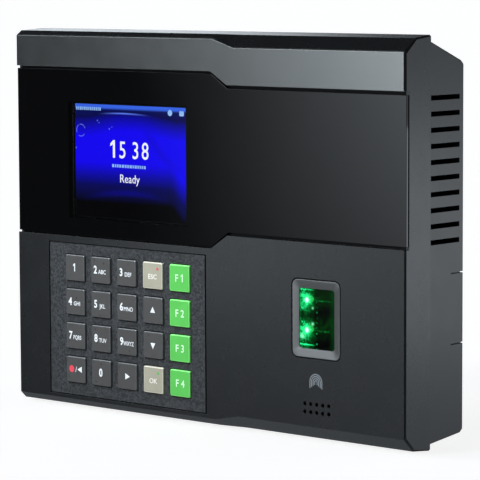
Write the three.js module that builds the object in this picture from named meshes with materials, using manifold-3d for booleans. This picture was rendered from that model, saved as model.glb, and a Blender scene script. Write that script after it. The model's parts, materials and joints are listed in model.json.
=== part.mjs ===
// Wall terminal with a display, a 20-key keypad and an optical fingerprint sensor.
//
// Millimetres, +Z up, X to the right of a person facing the terminal. The wall is the plane y = 0 and the
// origin is the centre of the wall plate's back. Every piece is drawn in the "device" group, whose Y is the
// depth behind the front face, so a depth of 0 is the front face and DEPTH is the wall.

import * as THREE from 'three';
import { mergeVertices } from 'three/addons/utils/BufferGeometryUtils.js';
import Module from 'manifold-3d';

// ---- Driving dimensions -------------------------------------------------------------------------------

const WIDTH = 193;
const HEIGHT = 146.5;
const DEPTH = 34.3;
const RIM_DEPTH = 14.3; // back edge of the front cover
const WALL = 2.2; // moulded wall thickness
const GAP = 0.3; // clearance between neighbouring pieces
const EDGE_BEVEL = 0.6; // bevel round the two ends of each casing

const HALF_WIDTH = WIDTH / 2;
const HALF_HEIGHT = HEIGHT / 2;
const INNER_HALF_WIDTH = HALF_WIDTH - WALL;
const BEYOND = 3; // how far a cutting tool runs past a surface

// The front face is taller on the left than on the right. Each section is [depth, height] from the top rim,
// round the front, to the bottom rim.
const LEFT_SECTION = [
  [RIM_DEPTH, HALF_HEIGHT], [2.6, 72.55], [0, 70.75],
  [0, -69.65], [2.6, -72.15], [RIM_DEPTH, -HALF_HEIGHT],
];
const RIGHT_SECTION = [
  [RIM_DEPTH, HALF_HEIGHT], [5.8, 72.3], [0, 67.6],
  [0, -67.45], [5.05, -72.3], [RIM_DEPTH, -HALF_HEIGHT],
];
// The change from one section to the other runs between these X values.
const TOP_JOG = [6.7, 17.0];
const BOTTOM_JOG = [7.9, 18.6];
const FACE_JOG = [5.6, 13.6];

// Edges on the front face, as the height left of the jog and the height right of it.
const STRIP_BOTTOM = [58.9, 54.0];
const PANEL_TOP = [-6.26, -1.03];

const CHANNEL_DEPTH = 2.1; // floor of the channel that holds the lens
const CHANNEL_FLOOR_BACK = 4.2;
const FACE_THICKNESS = 2.4; // front wall below the channel
// The inside of the cover: its height at the rim, and where it meets the backs of the two chamfers.
const COVER_HOLLOW = {
  rim: 70.9, topShoulder: [7.6, 70.5], faceTop: 67.0,
  step: -9.5, faceBottom: -66.8, bottomShoulder: [5.6, -70.4],
};
const STRIP_THICKNESS = 0.8;
const LENS_FRONT = 0.7;
const LENS_THICKNESS = 1.1;
const LENS_INSET = 0.2; // how far the lens stops short of each end
// Open joint above and below the lens, left of the jog and right of it.
const LENS_TOP_GAPS = [0.95, 1.3];
const LENS_BOTTOM_GAPS = [0.7, 1.0];

const DISPLAY = { x: -37.65, z: 23.3, width: 57.6, height: 43.2 }; // 2.8 inch active area
const DISPLAY_FACE = 2.5;
const DISPLAY_BODY = { width: 69.2, height: 50, front: 4.5, back: 7.5 };
const DISPLAY_GLASS_MARGIN = 0.5; // glass beyond the active area, on each side
const DISPLAY_WINDOW_MARGIN = 0.9; // opening in the channel floor beyond the active area

const KEYPAD = { left: -79, right: 2.25, top: -9.1, bottom: -67.95 };
const KEYPAD_JOINT = 0.85; // open joint along the plate's right side, wider than on the other three
const KEYPAD_FACE = 0.3;
const KEYPAD_BACK = 3.9;
const KEYPAD_FLANGE = { side: 2, top: 1.2, bottom: 1.6 }; // hidden rim beyond the plate's face
const KEY_COLUMNS = { first: -64.8, pitch: 13.7, count: 5 };
const KEY_ROWS = { first: -18.45, pitch: 13.2, count: 4 };
const KEY_SIZE = 10.2;
const KEY_CORNER = 0.5;
const KEY_CLEARANCE = 0.25;
const KEY_DRAFT = 0.05; // how far each side leans in between the foot and the rounding at the top
const KEY_ROUNDING = 0.3;
const KEY_TOP = -0.4; // keys stand proud of the front face
const KEY_FLANGE = { half: 5.8, front: 4.2, back: 5.2 };
const KEYPAD_SHEET = { width: 78, height: 56, corner: 1 }; // outline of the mat and of the board behind it
const KEYPAD_MAT = { front: 7.6, back: 8.5 };
const DOME = { front: 6.6, tipRadius: 2.4, footRadius: 3.4 };
const KEYPAD_BOARD = { front: 8.8, back: 10.4 };

const RIBBON_THICKNESS = 0.3;
const RIBBON_BEND = 4; // radius
const RIBBON_END = 19.3; // depth at which the ribbons run up the front of the main board

const SENSOR = { x: 56, z: -28.45, width: 22, height: 28, windowWidth: 16.4, windowHeight: 21.8 };
const BEZEL = { front: 0, land: 0.4, slopeBack: 0.45, corner: 2.2, openingCorner: 1.2, clearance: 0.45 };
const SENSOR_WINDOW = { front: 1.4, back: 3.0, overlap: 1 }; // the overlap is hidden behind the bezel
const SENSOR_HOUSING = { front: 3.3, back: 25, width: 24.4, height: 30, floor: 2 };
const LAMP_LEDGE = { front: 6.6, width: 3 };
const LAMPS = { x: 48.6, heights: [-22.2, -33.1] };
const SENSOR_BOARD = { front: 25.4, back: 27, width: 24.4, height: 34 };

const SPEAKER_HOLES = { x: 50.7, z: -59.2, pitchX: 2.8, pitchZ: 2.95, columns: 5, rows: 2, radius: 0.75 };

const HOUSING_FRONT = 14.6;
const HOUSING_FLOOR = { inner: 30.5, outer: 32.5 };
const HOUSING_SECTION = [ // [depth, height], from the top front edge down the front and round the back
  [HOUSING_FRONT, 71.05], [HOUSING_FRONT, -71.15], [32.7, -69.1], [34, -68.1], [34, 62.7], [32.6, 63.9],
];
const HOUSING_HALF_WIDTH = HALF_WIDTH - 0.3;
const VENTS = { top: 51.2, pitch: 5.64, count: 10, height: 1.8, back: 31.3 };
const VENT_RIB = 3; // extra wall thickness at the front end of the vents, none at their back end
const SIDE_SLITS = { heights: [-11.3, -36.65], front: 26.5, height: 0.6, depth: 1.2 };
const SLIT_NICK = 0.7; // the upper slit goes right through the wall for this far at the back edge

const BOARD = { left: -80, right: 36, bottom: -58, top: 52, front: 20, back: 21.6 };
const BOARD_SCREWS = [[-76, 48], [32, 48], [-76, -54], [32, -54]];
const STANDOFF = { radius: 3.5, hole: 1.7, pilot: 1.6 };
const CASE_SCREWS = [[-86, 54], [86, 54], [-86, -60], [86, -60]];
const CASE_BOSS = { radius: 4, pilot: 1.65, pilotFront: 8 };
const WELL = { end: 16, floor: 18, radius: 4.6, bore: 3.3, hole: 1.7 };

const CABLE_OPENING = { left: -42, right: 24, bottom: -48, top: -10 };
const PLATE = { halfWidth: 74, halfHeight: 54, thickness: 1.5, corner: 5 };
const PLATE_FRONT = DEPTH - PLATE.thickness;
const HOOKS = [[-50, 30], [50, 30], [-50, -30], [50, -30]];
const HOOK = { width: 8, thickness: 1.5, lipFront: 28.5, lipBack: 30.0, lip: 3 };
const LOCK_FLANGE = { width: 16, front: 27 };
const LOCK_SCREW_DEPTH = 29.5;

const TAMPER = { x: 22, z: 24 };

// ---- Geometry helpers ---------------------------------------------------------------------------------

const wasm = await Module();
wasm.setup();

// A closed three.js geometry as a manifold solid.
function solid(geometry) {
  const bare = geometry.clone();
  bare.deleteAttribute('normal');
  bare.deleteAttribute('uv');
  const merged = mergeVertices(bare, 1e-4);
  return new wasm.Manifold(new wasm.Mesh({
    numProp: 3,
    vertProperties: new Float32Array(merged.attributes.position.array),
    triVerts: new Uint32Array(merged.index.array),
  }));
}

// A manifold solid as a three.js geometry.
function geometryOf(manifold) {
  const mesh = manifold.getMesh();
  const geometry = new THREE.BufferGeometry();
  geometry.setAttribute('position', new THREE.BufferAttribute(new Float32Array(mesh.vertProperties), 3));
  geometry.setIndex(new THREE.BufferAttribute(new Uint32Array(mesh.triVerts), 1));
  geometry.computeVertexNormals();
  return geometry;
}

function union(parts) {
  return parts.reduce((whole, part) => whole.add(part));
}

function box(x0, x1, y0, y1, z0, z1) {
  const geometry = new THREE.BoxGeometry(x1 - x0, y1 - y0, z1 - z0);
  return solid(geometry.translate((x0 + x1) / 2, (y0 + y1) / 2, (z0 + z1) / 2));
}

function polygon(points) {
  return new THREE.Shape(points.map(([a, b]) => new THREE.Vector2(a, b)));
}

// A rounded rectangle in X and Z.
function roundedRectangle(x, z, width, height, radius) {
  const w = width / 2 - radius;
  const h = height / 2 - radius;
  const shape = new THREE.Shape();
  shape.absarc(x + w, z - h, radius, -Math.PI / 2, 0);
  shape.absarc(x + w, z + h, radius, 0, Math.PI / 2);
  shape.absarc(x - w, z + h, radius, Math.PI / 2, Math.PI);
  shape.absarc(x - w, z - h, radius, Math.PI, 1.5 * Math.PI);
  return shape;
}

// A shape drawn in X and Z, running in depth from y0 to y1.
function slab(shape, y0, y1, curveSegments = 2) {
  const geometry = new THREE.ExtrudeGeometry(shape, { depth: y1 - y0, bevelEnabled: false, curveSegments });
  return solid(geometry.rotateX(Math.PI / 2).translate(0, y1, 0));
}

// A profile drawn in depth and height, running in X from x0 to x1.
function lengthwise(profile, x0, x1, curveSegments = 3) {
  const geometry = new THREE.ExtrudeGeometry(profile, { depth: x1 - x0, bevelEnabled: false, curveSegments });
  const turn = new THREE.Matrix4().makeBasis(
    new THREE.Vector3(0, 1, 0), new THREE.Vector3(0, 0, 1), new THREE.Vector3(1, 0, 0),
  );
  return solid(geometry.applyMatrix4(turn).translate(x0, 0, 0));
}

// A shape drawn in X and depth, standing from z0 to z1.
function upright(shape, z0, z1) {
  const geometry = new THREE.ExtrudeGeometry(shape, { depth: z1 - z0, bevelEnabled: false });
  return solid(geometry.translate(0, 0, z0));
}

// A round bar or frustum along the depth, from y0 (radius) to y1 (endRadius).
function bar(x, z, radius, y0, y1, sides = 12, endRadius = radius) {
  const geometry = new THREE.CylinderGeometry(endRadius, radius, y1 - y0, sides);
  return solid(geometry.translate(x, (y0 + y1) / 2, z));
}

// An upright round bar from z0 to z1.
function post(x, y, radius, z0, z1, sides = 12) {
  const geometry = new THREE.CylinderGeometry(radius, radius, z1 - z0, sides);
  return solid(geometry.rotateX(Math.PI / 2).translate(x, y, (z0 + z1) / 2));
}

// A solid skinned over rings of [x, y, z] points, all with the same number of points in the same order,
// counter-clockwise as seen from the last ring.
function loft(rings) {
  const count = rings[0].length;
  const index = [];
  for (let ring = 0; ring + 1 < rings.length; ring += 1) {
    for (let i = 0; i < count; i += 1) {
      const near = ring * count + i;
      const nearNext = ring * count + ((i + 1) % count);
      index.push(near, nearNext, nearNext + count, near, nearNext + count, near + count);
    }
  }
  const last = (rings.length - 1) * count;
  for (let i = 1; i + 1 < count; i += 1) {
    index.push(0, i + 1, i, last, last + i, last + i + 1);
  }
  const geometry = new THREE.BufferGeometry();
  geometry.setAttribute('position', new THREE.Float32BufferAttribute(rings.flat(2), 3));
  geometry.setIndex(index);
  return solid(geometry);
}

// A rounded rectangle as a ring of points at one depth, counter-clockwise as seen from the back.
function rectangleRing(x, z, width, height, radius, y, steps = 3) {
  const ring = [];
  for (let corner = 0; corner < 4; corner += 1) {
    const sideX = corner < 2 ? 1 : -1;
    const sideZ = corner === 0 || corner === 3 ? 1 : -1;
    for (let step = 0; step <= steps; step += 1) {
      const angle = (corner + step / steps) * (Math.PI / 2);
      ring.push([
        x + sideX * (width / 2 - radius) + radius * Math.sin(angle),
        y,
        z + sideZ * (height / 2 - radius) + radius * Math.cos(angle),
      ]);
    }
  }
  return ring;
}

// A flat ribbon cable whose middle follows a path drawn in depth and height.
function ribbon(path, thickness, x0, x1) {
  const middle = path.getPoints(3);
  const side = (offset) => middle.map((point, i) => {
    const before = middle[Math.max(i - 1, 0)];
    const after = middle[Math.min(i + 1, middle.length - 1)];
    const along = after.clone().sub(before).normalize();
    return [point.x - along.y * offset, point.y + along.x * offset];
  });
  const outline = [...side(-thickness / 2), ...side(thickness / 2).reverse()];
  return lengthwise(polygon(outline), x0, x1);
}

// A round cable through a few points.
function cable(points, radius) {
  const round = new THREE.Shape();
  round.absarc(0, 0, radius, 0, 2 * Math.PI);
  const curve = new THREE.CatmullRomCurve3(points.map((point) => new THREE.Vector3(...point)));
  return solid(new THREE.ExtrudeGeometry(round, { steps: 10, curveSegments: 3, extrudePath: curve }));
}

// ---- Front cover, trim strip and lens -----------------------------------------------------------------

// One cross-section of the cover at x, shrunk by inset for the end bevels.
function coverRing(xTop, xBottom, section, inset = 0) {
  return section.map(([depth, height], i) => [
    i < section.length / 2 ? xTop : xBottom,
    RIM_DEPTH - (RIM_DEPTH - depth) * (1 - inset / RIM_DEPTH),
    height * (1 - inset / HALF_HEIGHT),
  ]);
}

function coverBody() {
  const bevelled = HALF_WIDTH - EDGE_BEVEL;
  return loft([
    coverRing(-HALF_WIDTH, -HALF_WIDTH, LEFT_SECTION, EDGE_BEVEL),
    coverRing(-bevelled, -bevelled, LEFT_SECTION),
    coverRing(TOP_JOG[0], BOTTOM_JOG[0], LEFT_SECTION),
    coverRing(TOP_JOG[1], BOTTOM_JOG[1], RIGHT_SECTION),
    coverRing(bevelled, bevelled, RIGHT_SECTION),
    coverRing(HALF_WIDTH, HALF_WIDTH, RIGHT_SECTION, EDGE_BEVEL),
  ]);
}

// The area between two edges that both step at the face jog, out to x = -reach and x = +reach.
function jogArea(low, high, reach) {
  return polygon([
    [-reach, low[0]], [FACE_JOG[0], low[0]], [FACE_JOG[1], low[1]], [reach, low[1]],
    [reach, high[1]], [FACE_JOG[1], high[1]], [FACE_JOG[0], high[0]], [-reach, high[0]],
  ]);
}

// The trim strip fills the face above the lens. Its top edge is the face's own, so it steps at the top jog,
// and its ends stop at the bevel on the cover's ends.
function stripArea(clearance) {
  const reach = HALF_WIDTH - EDGE_BEVEL - GAP + clearance;
  const [low, lowRight] = STRIP_BOTTOM;
  const [high, highRight] = [LEFT_SECTION, RIGHT_SECTION].map((section) => section[2][1] + clearance);
  return polygon([
    [-reach, low], [FACE_JOG[0], low], [FACE_JOG[1], lowRight], [reach, lowRight],
    [reach, highRight], [TOP_JOG[1], highRight], [TOP_JOG[0], high], [-reach, high],
  ]);
}

function coverCavity() {
  const { rim, topShoulder, faceTop, step, faceBottom, bottomShoulder } = COVER_HOLLOW;
  const deep = RIM_DEPTH + BEYOND;
  return lengthwise(polygon([
    [deep, rim], topShoulder, [CHANNEL_FLOOR_BACK, faceTop], [CHANNEL_FLOOR_BACK, step],
    [FACE_THICKNESS, step], [FACE_THICKNESS, faceBottom], bottomShoulder, [deep, -rim],
  ]), -INNER_HALF_WIDTH, INNER_HALF_WIDTH);
}

function speakerHoles() {
  const holes = [];
  for (let column = 0; column < SPEAKER_HOLES.columns; column += 1) {
    for (let row = 0; row < SPEAKER_HOLES.rows; row += 1) {
      const x = SPEAKER_HOLES.x + column * SPEAKER_HOLES.pitchX;
      const z = SPEAKER_HOLES.z - row * SPEAKER_HOLES.pitchZ;
      holes.push(bar(x, z, SPEAKER_HOLES.radius, -BEYOND, FACE_THICKNESS + BEYOND));
    }
  }
  return union(holes);
}

// The opening for the keypad plate, with a wider pocket behind it for the plate's flange.
function keypadOpening() {
  const { left, right, top, bottom } = KEYPAD;
  const { side } = KEYPAD_FLANGE;
  const deep = CHANNEL_FLOOR_BACK + BEYOND;
  const face = box(left - GAP, right + KEYPAD_JOINT, -BEYOND, deep, bottom - GAP, top + GAP);
  const pocket = box(left - side - GAP, right + side + GAP, FACE_THICKNESS, deep,
    bottom - KEYPAD_FLANGE.bottom - GAP, top + KEYPAD_FLANGE.top + GAP);
  return face.add(pocket);
}

function frontCover() {
  const deep = CHANNEL_FLOOR_BACK + BEYOND;
  const { radius, pilot, pilotFront } = CASE_BOSS;
  const bosses = union(CASE_SCREWS.map(([x, z]) => bar(x, z, radius, FACE_THICKNESS - 0.2, WELL.end - GAP)));
  const pilots = union(CASE_SCREWS.map(([x, z]) => bar(x, z, pilot, pilotFront, WELL.end + BEYOND)));
  const windowWidth = DISPLAY.width / 2 + DISPLAY_WINDOW_MARGIN;
  const windowHeight = DISPLAY.height / 2 + DISPLAY_WINDOW_MARGIN;
  const bezelRoom = 2 * BEZEL.clearance;
  return coverBody()
    .subtract(coverCavity())
    .add(bosses)
    .subtract(pilots)
    .subtract(slab(stripArea(GAP), -BEYOND, STRIP_THICKNESS + GAP))
    .subtract(slab(jogArea(PANEL_TOP, STRIP_BOTTOM, HALF_WIDTH + BEYOND), -BEYOND, CHANNEL_DEPTH))
    .subtract(box(DISPLAY.x - windowWidth, DISPLAY.x + windowWidth, 0, deep,
      DISPLAY.z - windowHeight, DISPLAY.z + windowHeight))
    .subtract(keypadOpening())
    .subtract(slab(roundedRectangle(SENSOR.x, SENSOR.z, SENSOR.width + bezelRoom, SENSOR.height + bezelRoom,
      BEZEL.corner + BEZEL.clearance), -BEYOND, deep, 3))
    .subtract(speakerHoles());
}

function topTrimStrip() {
  return coverBody().intersect(slab(stripArea(0), -BEYOND, STRIP_THICKNESS));
}

function lensPanel() {
  const low = PANEL_TOP.map((height, side) => height + LENS_BOTTOM_GAPS[side]);
  const high = STRIP_BOTTOM.map((height, side) => height - LENS_TOP_GAPS[side]);
  return slab(jogArea(low, high, HALF_WIDTH - LENS_INSET), LENS_FRONT, LENS_FRONT + LENS_THICKNESS);
}

// ---- Display ------------------------------------------------------------------------------------------

function displayModule() {
  const { x, z, width, height } = DISPLAY;
  const wider = 2 * DISPLAY_GLASS_MARGIN;
  const glass = slab(
    roundedRectangle(x, z, width + wider, height + wider, 0.5), DISPLAY_FACE, DISPLAY_BODY.front + 0.2,
  );
  const { front, back } = DISPLAY_BODY;
  const body = slab(roundedRectangle(x, z, DISPLAY_BODY.width, DISPLAY_BODY.height, 1.5), front, back);
  return glass.add(body);
}

// Runs down the back of the display, then turns back and down again to its socket on the main board.
function displayRibbon() {
  const start = DISPLAY_BODY.back + GAP + RIBBON_THICKNESS / 2;
  const bendTop = 6;
  const path = new THREE.Path();
  path.moveTo(start, 14);
  path.lineTo(start, bendTop);
  path.absarc(start + RIBBON_BEND, bendTop, RIBBON_BEND, Math.PI, 1.5 * Math.PI);
  path.absarc(RIBBON_END - RIBBON_BEND, bendTop - 2 * RIBBON_BEND, RIBBON_BEND, Math.PI / 2, 0, true);
  path.lineTo(RIBBON_END, -8);
  return ribbon(path, RIBBON_THICKNESS, -48, -28);
}

// ---- Keypad -------------------------------------------------------------------------------------------

const KEY_PLACES = [];
for (let row = 0; row < KEY_ROWS.count; row += 1) {
  for (let column = 0; column < KEY_COLUMNS.count; column += 1) {
    const x = KEY_COLUMNS.first + column * KEY_COLUMNS.pitch;
    const z = KEY_ROWS.first - row * KEY_ROWS.pitch;
    KEY_PLACES.push([x, z]);
  }
}
const KEYPAD_CENTRE = [(KEYPAD.left + KEYPAD.right) / 2, (KEYPAD.top + KEYPAD.bottom) / 2];

function keypadPlate() {
  const { left, right, top, bottom } = KEYPAD;
  const { side } = KEYPAD_FLANGE;
  const outline = roundedRectangle(...KEYPAD_CENTRE, right - left, top - bottom, 0.4);
  const face = slab(outline, KEYPAD_FACE, KEYPAD_BACK, 1);
  const flange = box(left - side, right + side, FACE_THICKNESS + GAP, KEYPAD_BACK,
    bottom - KEYPAD_FLANGE.bottom, top + KEYPAD_FLANGE.top);
  const opening = KEY_SIZE + 2 * KEY_CLEARANCE;
  const holes = KEY_PLACES.map(([x, z]) => slab(
    roundedRectangle(x, z, opening, opening, KEY_CORNER + KEY_CLEARANCE), -BEYOND, KEYPAD_BACK + BEYOND,
  ));
  return face.add(flange).subtract(union(holes));
}

// One key, drawn about its own centre: a cap that narrows a little towards its top, and a retaining flange.
function keyCap() {
  const { half, front, back } = KEY_FLANGE;
  const shoulder = KEY_SIZE - 2 * KEY_DRAFT;
  const top = shoulder - 1.5 * KEY_ROUNDING;
  const cap = loft([
    rectangleRing(0, 0, top, top, KEY_CORNER, KEY_TOP, 2),
    rectangleRing(0, 0, shoulder, shoulder, KEY_CORNER, KEY_TOP + KEY_ROUNDING, 2),
    rectangleRing(0, 0, KEY_SIZE, KEY_SIZE, KEY_CORNER, back - 0.5, 2),
  ]);
  return cap.add(box(-half, half, front, back, -half, half));
}

function keypadMat() {
  const { front, tipRadius, footRadius } = DOME;
  const sheet = keypadSheet(KEYPAD_MAT);
  const foot = KEYPAD_MAT.front + 0.1;
  const domes = KEY_PLACES.map(([x, z]) => bar(x, z, tipRadius, front, foot, 8, footRadius));
  return sheet.add(union(domes));
}

function keypadSheet({ front, back }) {
  const { width, height, corner } = KEYPAD_SHEET;
  return slab(roundedRectangle(...KEYPAD_CENTRE, width, height, corner), front, back, 1);
}

// Runs up the back of the keypad board, then turns back and up again to its socket on the main board.
function keypadRibbon() {
  const start = KEYPAD_BOARD.back + GAP + RIBBON_THICKNESS / 2;
  const bendTop = -24;
  const path = new THREE.Path();
  path.moveTo(start, -34);
  path.lineTo(start, bendTop);
  path.absarc(start + RIBBON_BEND, bendTop, RIBBON_BEND, Math.PI, Math.PI / 2, true);
  path.absarc(RIBBON_END - RIBBON_BEND, bendTop + 2 * RIBBON_BEND, RIBBON_BEND, -Math.PI / 2, 0);
  path.lineTo(RIBBON_END, -9);
  return ribbon(path, RIBBON_THICKNESS, -70, -56);
}

// ---- Fingerprint sensor -------------------------------------------------------------------------------

function sensorBezel() {
  const { x, z, width, height, windowWidth, windowHeight } = SENSOR;
  const { front, land, slopeBack, corner, openingCorner } = BEZEL;
  const { overlap } = SENSOR_WINDOW;
  const frame = slab(roundedRectangle(x, z, width, height, corner), front, SENSOR_WINDOW.back, 3);
  // The four faces slope in to the opening from a narrow land round the outside.
  const slopeWidth = width - 2 * land;
  const slopeHeight = height - 2 * land;
  const slope = loft([
    rectangleRing(x, z, slopeWidth + 1.4, slopeHeight + 1.4, corner - 0.2, front - 0.1),
    rectangleRing(x, z, slopeWidth, slopeHeight, corner - 0.3, front),
    rectangleRing(x, z, windowWidth, windowHeight, openingCorner, slopeBack),
  ]);
  const opening = slab(
    roundedRectangle(x, z, windowWidth, windowHeight, openingCorner), front, SENSOR_WINDOW.back + BEYOND, 3,
  );
  const seatMargin = 2 * (overlap + GAP);
  const seat = slab(roundedRectangle(x, z, windowWidth + seatMargin, windowHeight + seatMargin,
    openingCorner + 0.4), SENSOR_WINDOW.front - GAP, SENSOR_WINDOW.back + BEYOND, 3);
  return frame.subtract(slope).subtract(opening).subtract(seat);
}

function sensorWindow() {
  const { x, z, windowWidth, windowHeight } = SENSOR;
  const { front, back, overlap } = SENSOR_WINDOW;
  const outline = roundedRectangle(
    x, z, windowWidth + 2 * overlap, windowHeight + 2 * overlap, BEZEL.openingCorner + 0.2,
  );
  return slab(outline, front, back, 3);
}

// An open-fronted cup with a ledge on its left wall that carries the two lamps.
function sensorHousing() {
  const { x, z } = SENSOR;
  const { front, back, width, height, floor } = SENSOR_HOUSING;
  const halfWidth = SENSOR.windowWidth / 2 + SENSOR_WINDOW.overlap;
  const halfHeight = SENSOR.windowHeight / 2 + SENSOR_WINDOW.overlap;
  const left = x - halfWidth;
  const outer = slab(roundedRectangle(x, z, width, height, 2), front, back);
  const hollow = box(left, x + halfWidth, front - BEYOND, back - floor, z - halfHeight, z + halfHeight);
  const ledge = box(left - 1, left + LAMP_LEDGE.width, LAMP_LEDGE.front, back - 1,
    z - halfHeight - 1, z + halfHeight + 1);
  return outer.subtract(hollow).add(ledge);
}

function sensorLamp() {
  return union([bar(0, 0, 1.3, 4.6, 6.3, 10), bar(0, 0, 0.7, 3.7, 4.7, 10, 1.2)]);
}

// The sensor's board, with the socket for its cable.
function sensorBoard() {
  const { front, back, width, height } = SENSOR_BOARD;
  const board = slab(roundedRectangle(SENSOR.x, SENSOR.z, width, height, 1), front, back);
  return board.add(box(46, 54, back - 0.1, back + 1.6, -19, -14));
}

// ---- Sound --------------------------------------------------------------------------------------------

function speakerX() {
  return SPEAKER_HOLES.x + SPEAKER_HOLES.pitchX * (SPEAKER_HOLES.columns - 1) / 2;
}

function speaker() {
  const z = SPEAKER_HOLES.z - SPEAKER_HOLES.pitchZ / 2;
  const frame = slab(roundedRectangle(speakerX(), z, 20, 12, 4), 3.2, 7.2, 3);
  return frame.add(slab(roundedRectangle(speakerX(), z, 12, 7, 2), 7, 8.2, 3));
}

// ---- Main board and what is soldered or plugged on it -------------------------------------------------

function mainBoard() {
  const { left, right, bottom, top, front, back } = BOARD;
  const width = right - left;
  const height = top - bottom;
  const sheet = slab(roundedRectangle(left + width / 2, bottom + height / 2, width, height, 2), front, back);
  const holes = union(BOARD_SCREWS.map(([x, z]) => bar(x, z, STANDOFF.hole, front - BEYOND, back + BEYOND)));
  const sockets = union([
    box(-49, -27, 17.9, front + 0.1, -14, -8.5),
    box(-71, -55, 17.9, front + 0.1, -8.5, -3),
    box(24, 34, back - 0.1, 23.4, -18, -12),
    box(26, 34, 17.9, front + 0.1, -44, -38),
  ]);
  return sheet.subtract(holes).add(sockets);
}

// A block standing on the board's back face, between two X and two Z values.
function onBoard(x0, x1, z0, z1, height) {
  const foot = BOARD.back + GAP;
  return box(x0, x1, foot, foot + height, z0, z1);
}

// A row of screw terminals with a wire hole in the back of each.
function terminalBlock(x0, z0, ways) {
  const pitch = 3.81;
  const depth = 8;
  const height = 8.4;
  const foot = BOARD.back + GAP;
  const wireHoles = [];
  for (let way = 0; way < ways; way += 1) {
    const x = x0 + (way + 0.5) * pitch;
    wireHoles.push(bar(x, z0 + 5.4, 1.3, foot + 3, foot + height + 1, 6));
    wireHoles.push(bar(x, z0 + 1.9, 1.0, foot + 6.5, foot + height + 1, 6));
  }
  return onBoard(x0, x0 + ways * pitch, z0, z0 + depth, height).subtract(union(wireHoles));
}

function processorCan() {
  return slab(roundedRectangle(-24, 26, 24, 24, 1), BOARD.back + GAP, BOARD.back + GAP + 2.6);
}

function relay() {
  return onBoard(-62, -47, 4, 24, 6);
}

function clockBattery() {
  return bar(3, 27, 10, BOARD.back + GAP, BOARD.back + GAP + 3.2, 24);
}

function networkJack() {
  const foot = BOARD.back + GAP;
  return onBoard(-40, -24, -46, -32, 10)
    .subtract(box(-38, -26, foot + 2, foot + 11, -43.5, -35.5))
    .subtract(box(-35, -29, foot + 4, foot + 11, -36, -33.5));
}

function usbSocket() {
  const foot = BOARD.back + GAP;
  return onBoard(-18, -4, -44, -37, 10).subtract(box(-17.2, -4.8, foot + 1, foot + 11, -43.2, -39.4));
}

function tamperSwitch() {
  const foot = BOARD.back + GAP;
  const { x, z } = TAMPER;
  return box(x - 3.5, x + 3.5, foot, foot + 4.1, z - 3.5, z + 3.5)
    .subtract(bar(x, z, 1.2, foot + 0.5, foot + 6));
}

// The plunger, drawn about its own axis: a thin stem in the switch and a head that reaches the wall plate.
function tamperPlunger() {
  return union([bar(0, 0, 0.8, 23.7, 27.6), bar(0, 0, 1.7, 27.5, PLATE_FRONT - GAP)]);
}

// ---- Rear housing -------------------------------------------------------------------------------------

// One cross-section of the housing at x, shrunk by inset for the end bevels.
function housingRing(x, inset) {
  const reach = DEPTH - HOUSING_FRONT;
  return HOUSING_SECTION.map(([depth, height]) => [
    x,
    HOUSING_FRONT + (depth - HOUSING_FRONT) * (1 - inset / reach),
    height * (1 - inset / HALF_HEIGHT),
  ]);
}

function housingBody() {
  const bevelled = HOUSING_HALF_WIDTH - EDGE_BEVEL;
  return loft([
    housingRing(-HOUSING_HALF_WIDTH, EDGE_BEVEL), housingRing(-bevelled, 0),
    housingRing(bevelled, 0), housingRing(HOUSING_HALF_WIDTH, EDGE_BEVEL),
  ]);
}

function housingHollows() {
  const front = HOUSING_FRONT - BEYOND;
  const inside = lengthwise(polygon([
    [front, 69.6], [HOUSING_FRONT, 68.7], [HOUSING_FLOOR.inner, 62.4],
    [HOUSING_FLOOR.inner, -66.9], [HOUSING_FRONT, -68.9], [front, -69.1],
  ]), -INNER_HALF_WIDTH, INNER_HALF_WIDTH);
  const { outer } = HOUSING_FLOOR;
  return inside.add(box(-INNER_HALF_WIDTH, INNER_HALF_WIDTH, outer, DEPTH + BEYOND, -66, 61.2));
}

// The thin lip that locates the housing inside the front cover.
function locatingLip() {
  const x = INNER_HALF_WIDTH - GAP;
  const ring = box(-x, x, 12.6, HOUSING_FRONT + 1, -70.3, 70.2);
  return ring.subtract(box(-x + 1.4, x - 1.4, 10, HOUSING_FRONT + 2, -68.7, 68.6));
}

// The same thing on the right side and on the left.
function bothSides(right) {
  return right.add(right.mirror([1, 0, 0]));
}

// A wedge inside each side wall, thickest at the front, that makes the vents deeper there.
function ventRibs() {
  const wall = INNER_HALF_WIDTH + 0.1;
  const wedge = polygon([
    [wall, HOUSING_FRONT], [wall, VENTS.back], [INNER_HALF_WIDTH - VENT_RIB, HOUSING_FRONT],
  ]);
  const low = VENTS.top - (VENTS.count - 1) * VENTS.pitch - VENTS.height;
  return bothSides(upright(wedge, low, VENTS.top + VENTS.height));
}

function sideVents() {
  const inside = INNER_HALF_WIDTH - VENT_RIB - 1;
  const outside = HALF_WIDTH + BEYOND;
  const cuts = [];
  for (let i = 0; i < VENTS.count; i += 1) {
    const z = VENTS.top - i * VENTS.pitch;
    const [low, high] = [z - VENTS.height / 2, z + VENTS.height / 2];
    cuts.push(box(inside, outside, HOUSING_FRONT + 0.1, VENTS.back, low, high));
  }
  return bothSides(union(cuts));
}

// Two shallow slits at the back edge of each side. The upper one ends in a nick through the wall.
function sideSlits() {
  const { heights, front, height, depth } = SIDE_SLITS;
  const outside = HALF_WIDTH + BEYOND;
  const slits = heights.map((z) => box(
    HOUSING_HALF_WIDTH - depth, outside, front, DEPTH + BEYOND, z - height / 2, z + height / 2,
  ));
  const nick = box(INNER_HALF_WIDTH - 1, outside, DEPTH - 0.3 - SLIT_NICK, DEPTH + BEYOND,
    heights[0] - height / 2, heights[0] + height / 2);
  return bothSides(union([...slits, nick]));
}

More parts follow.
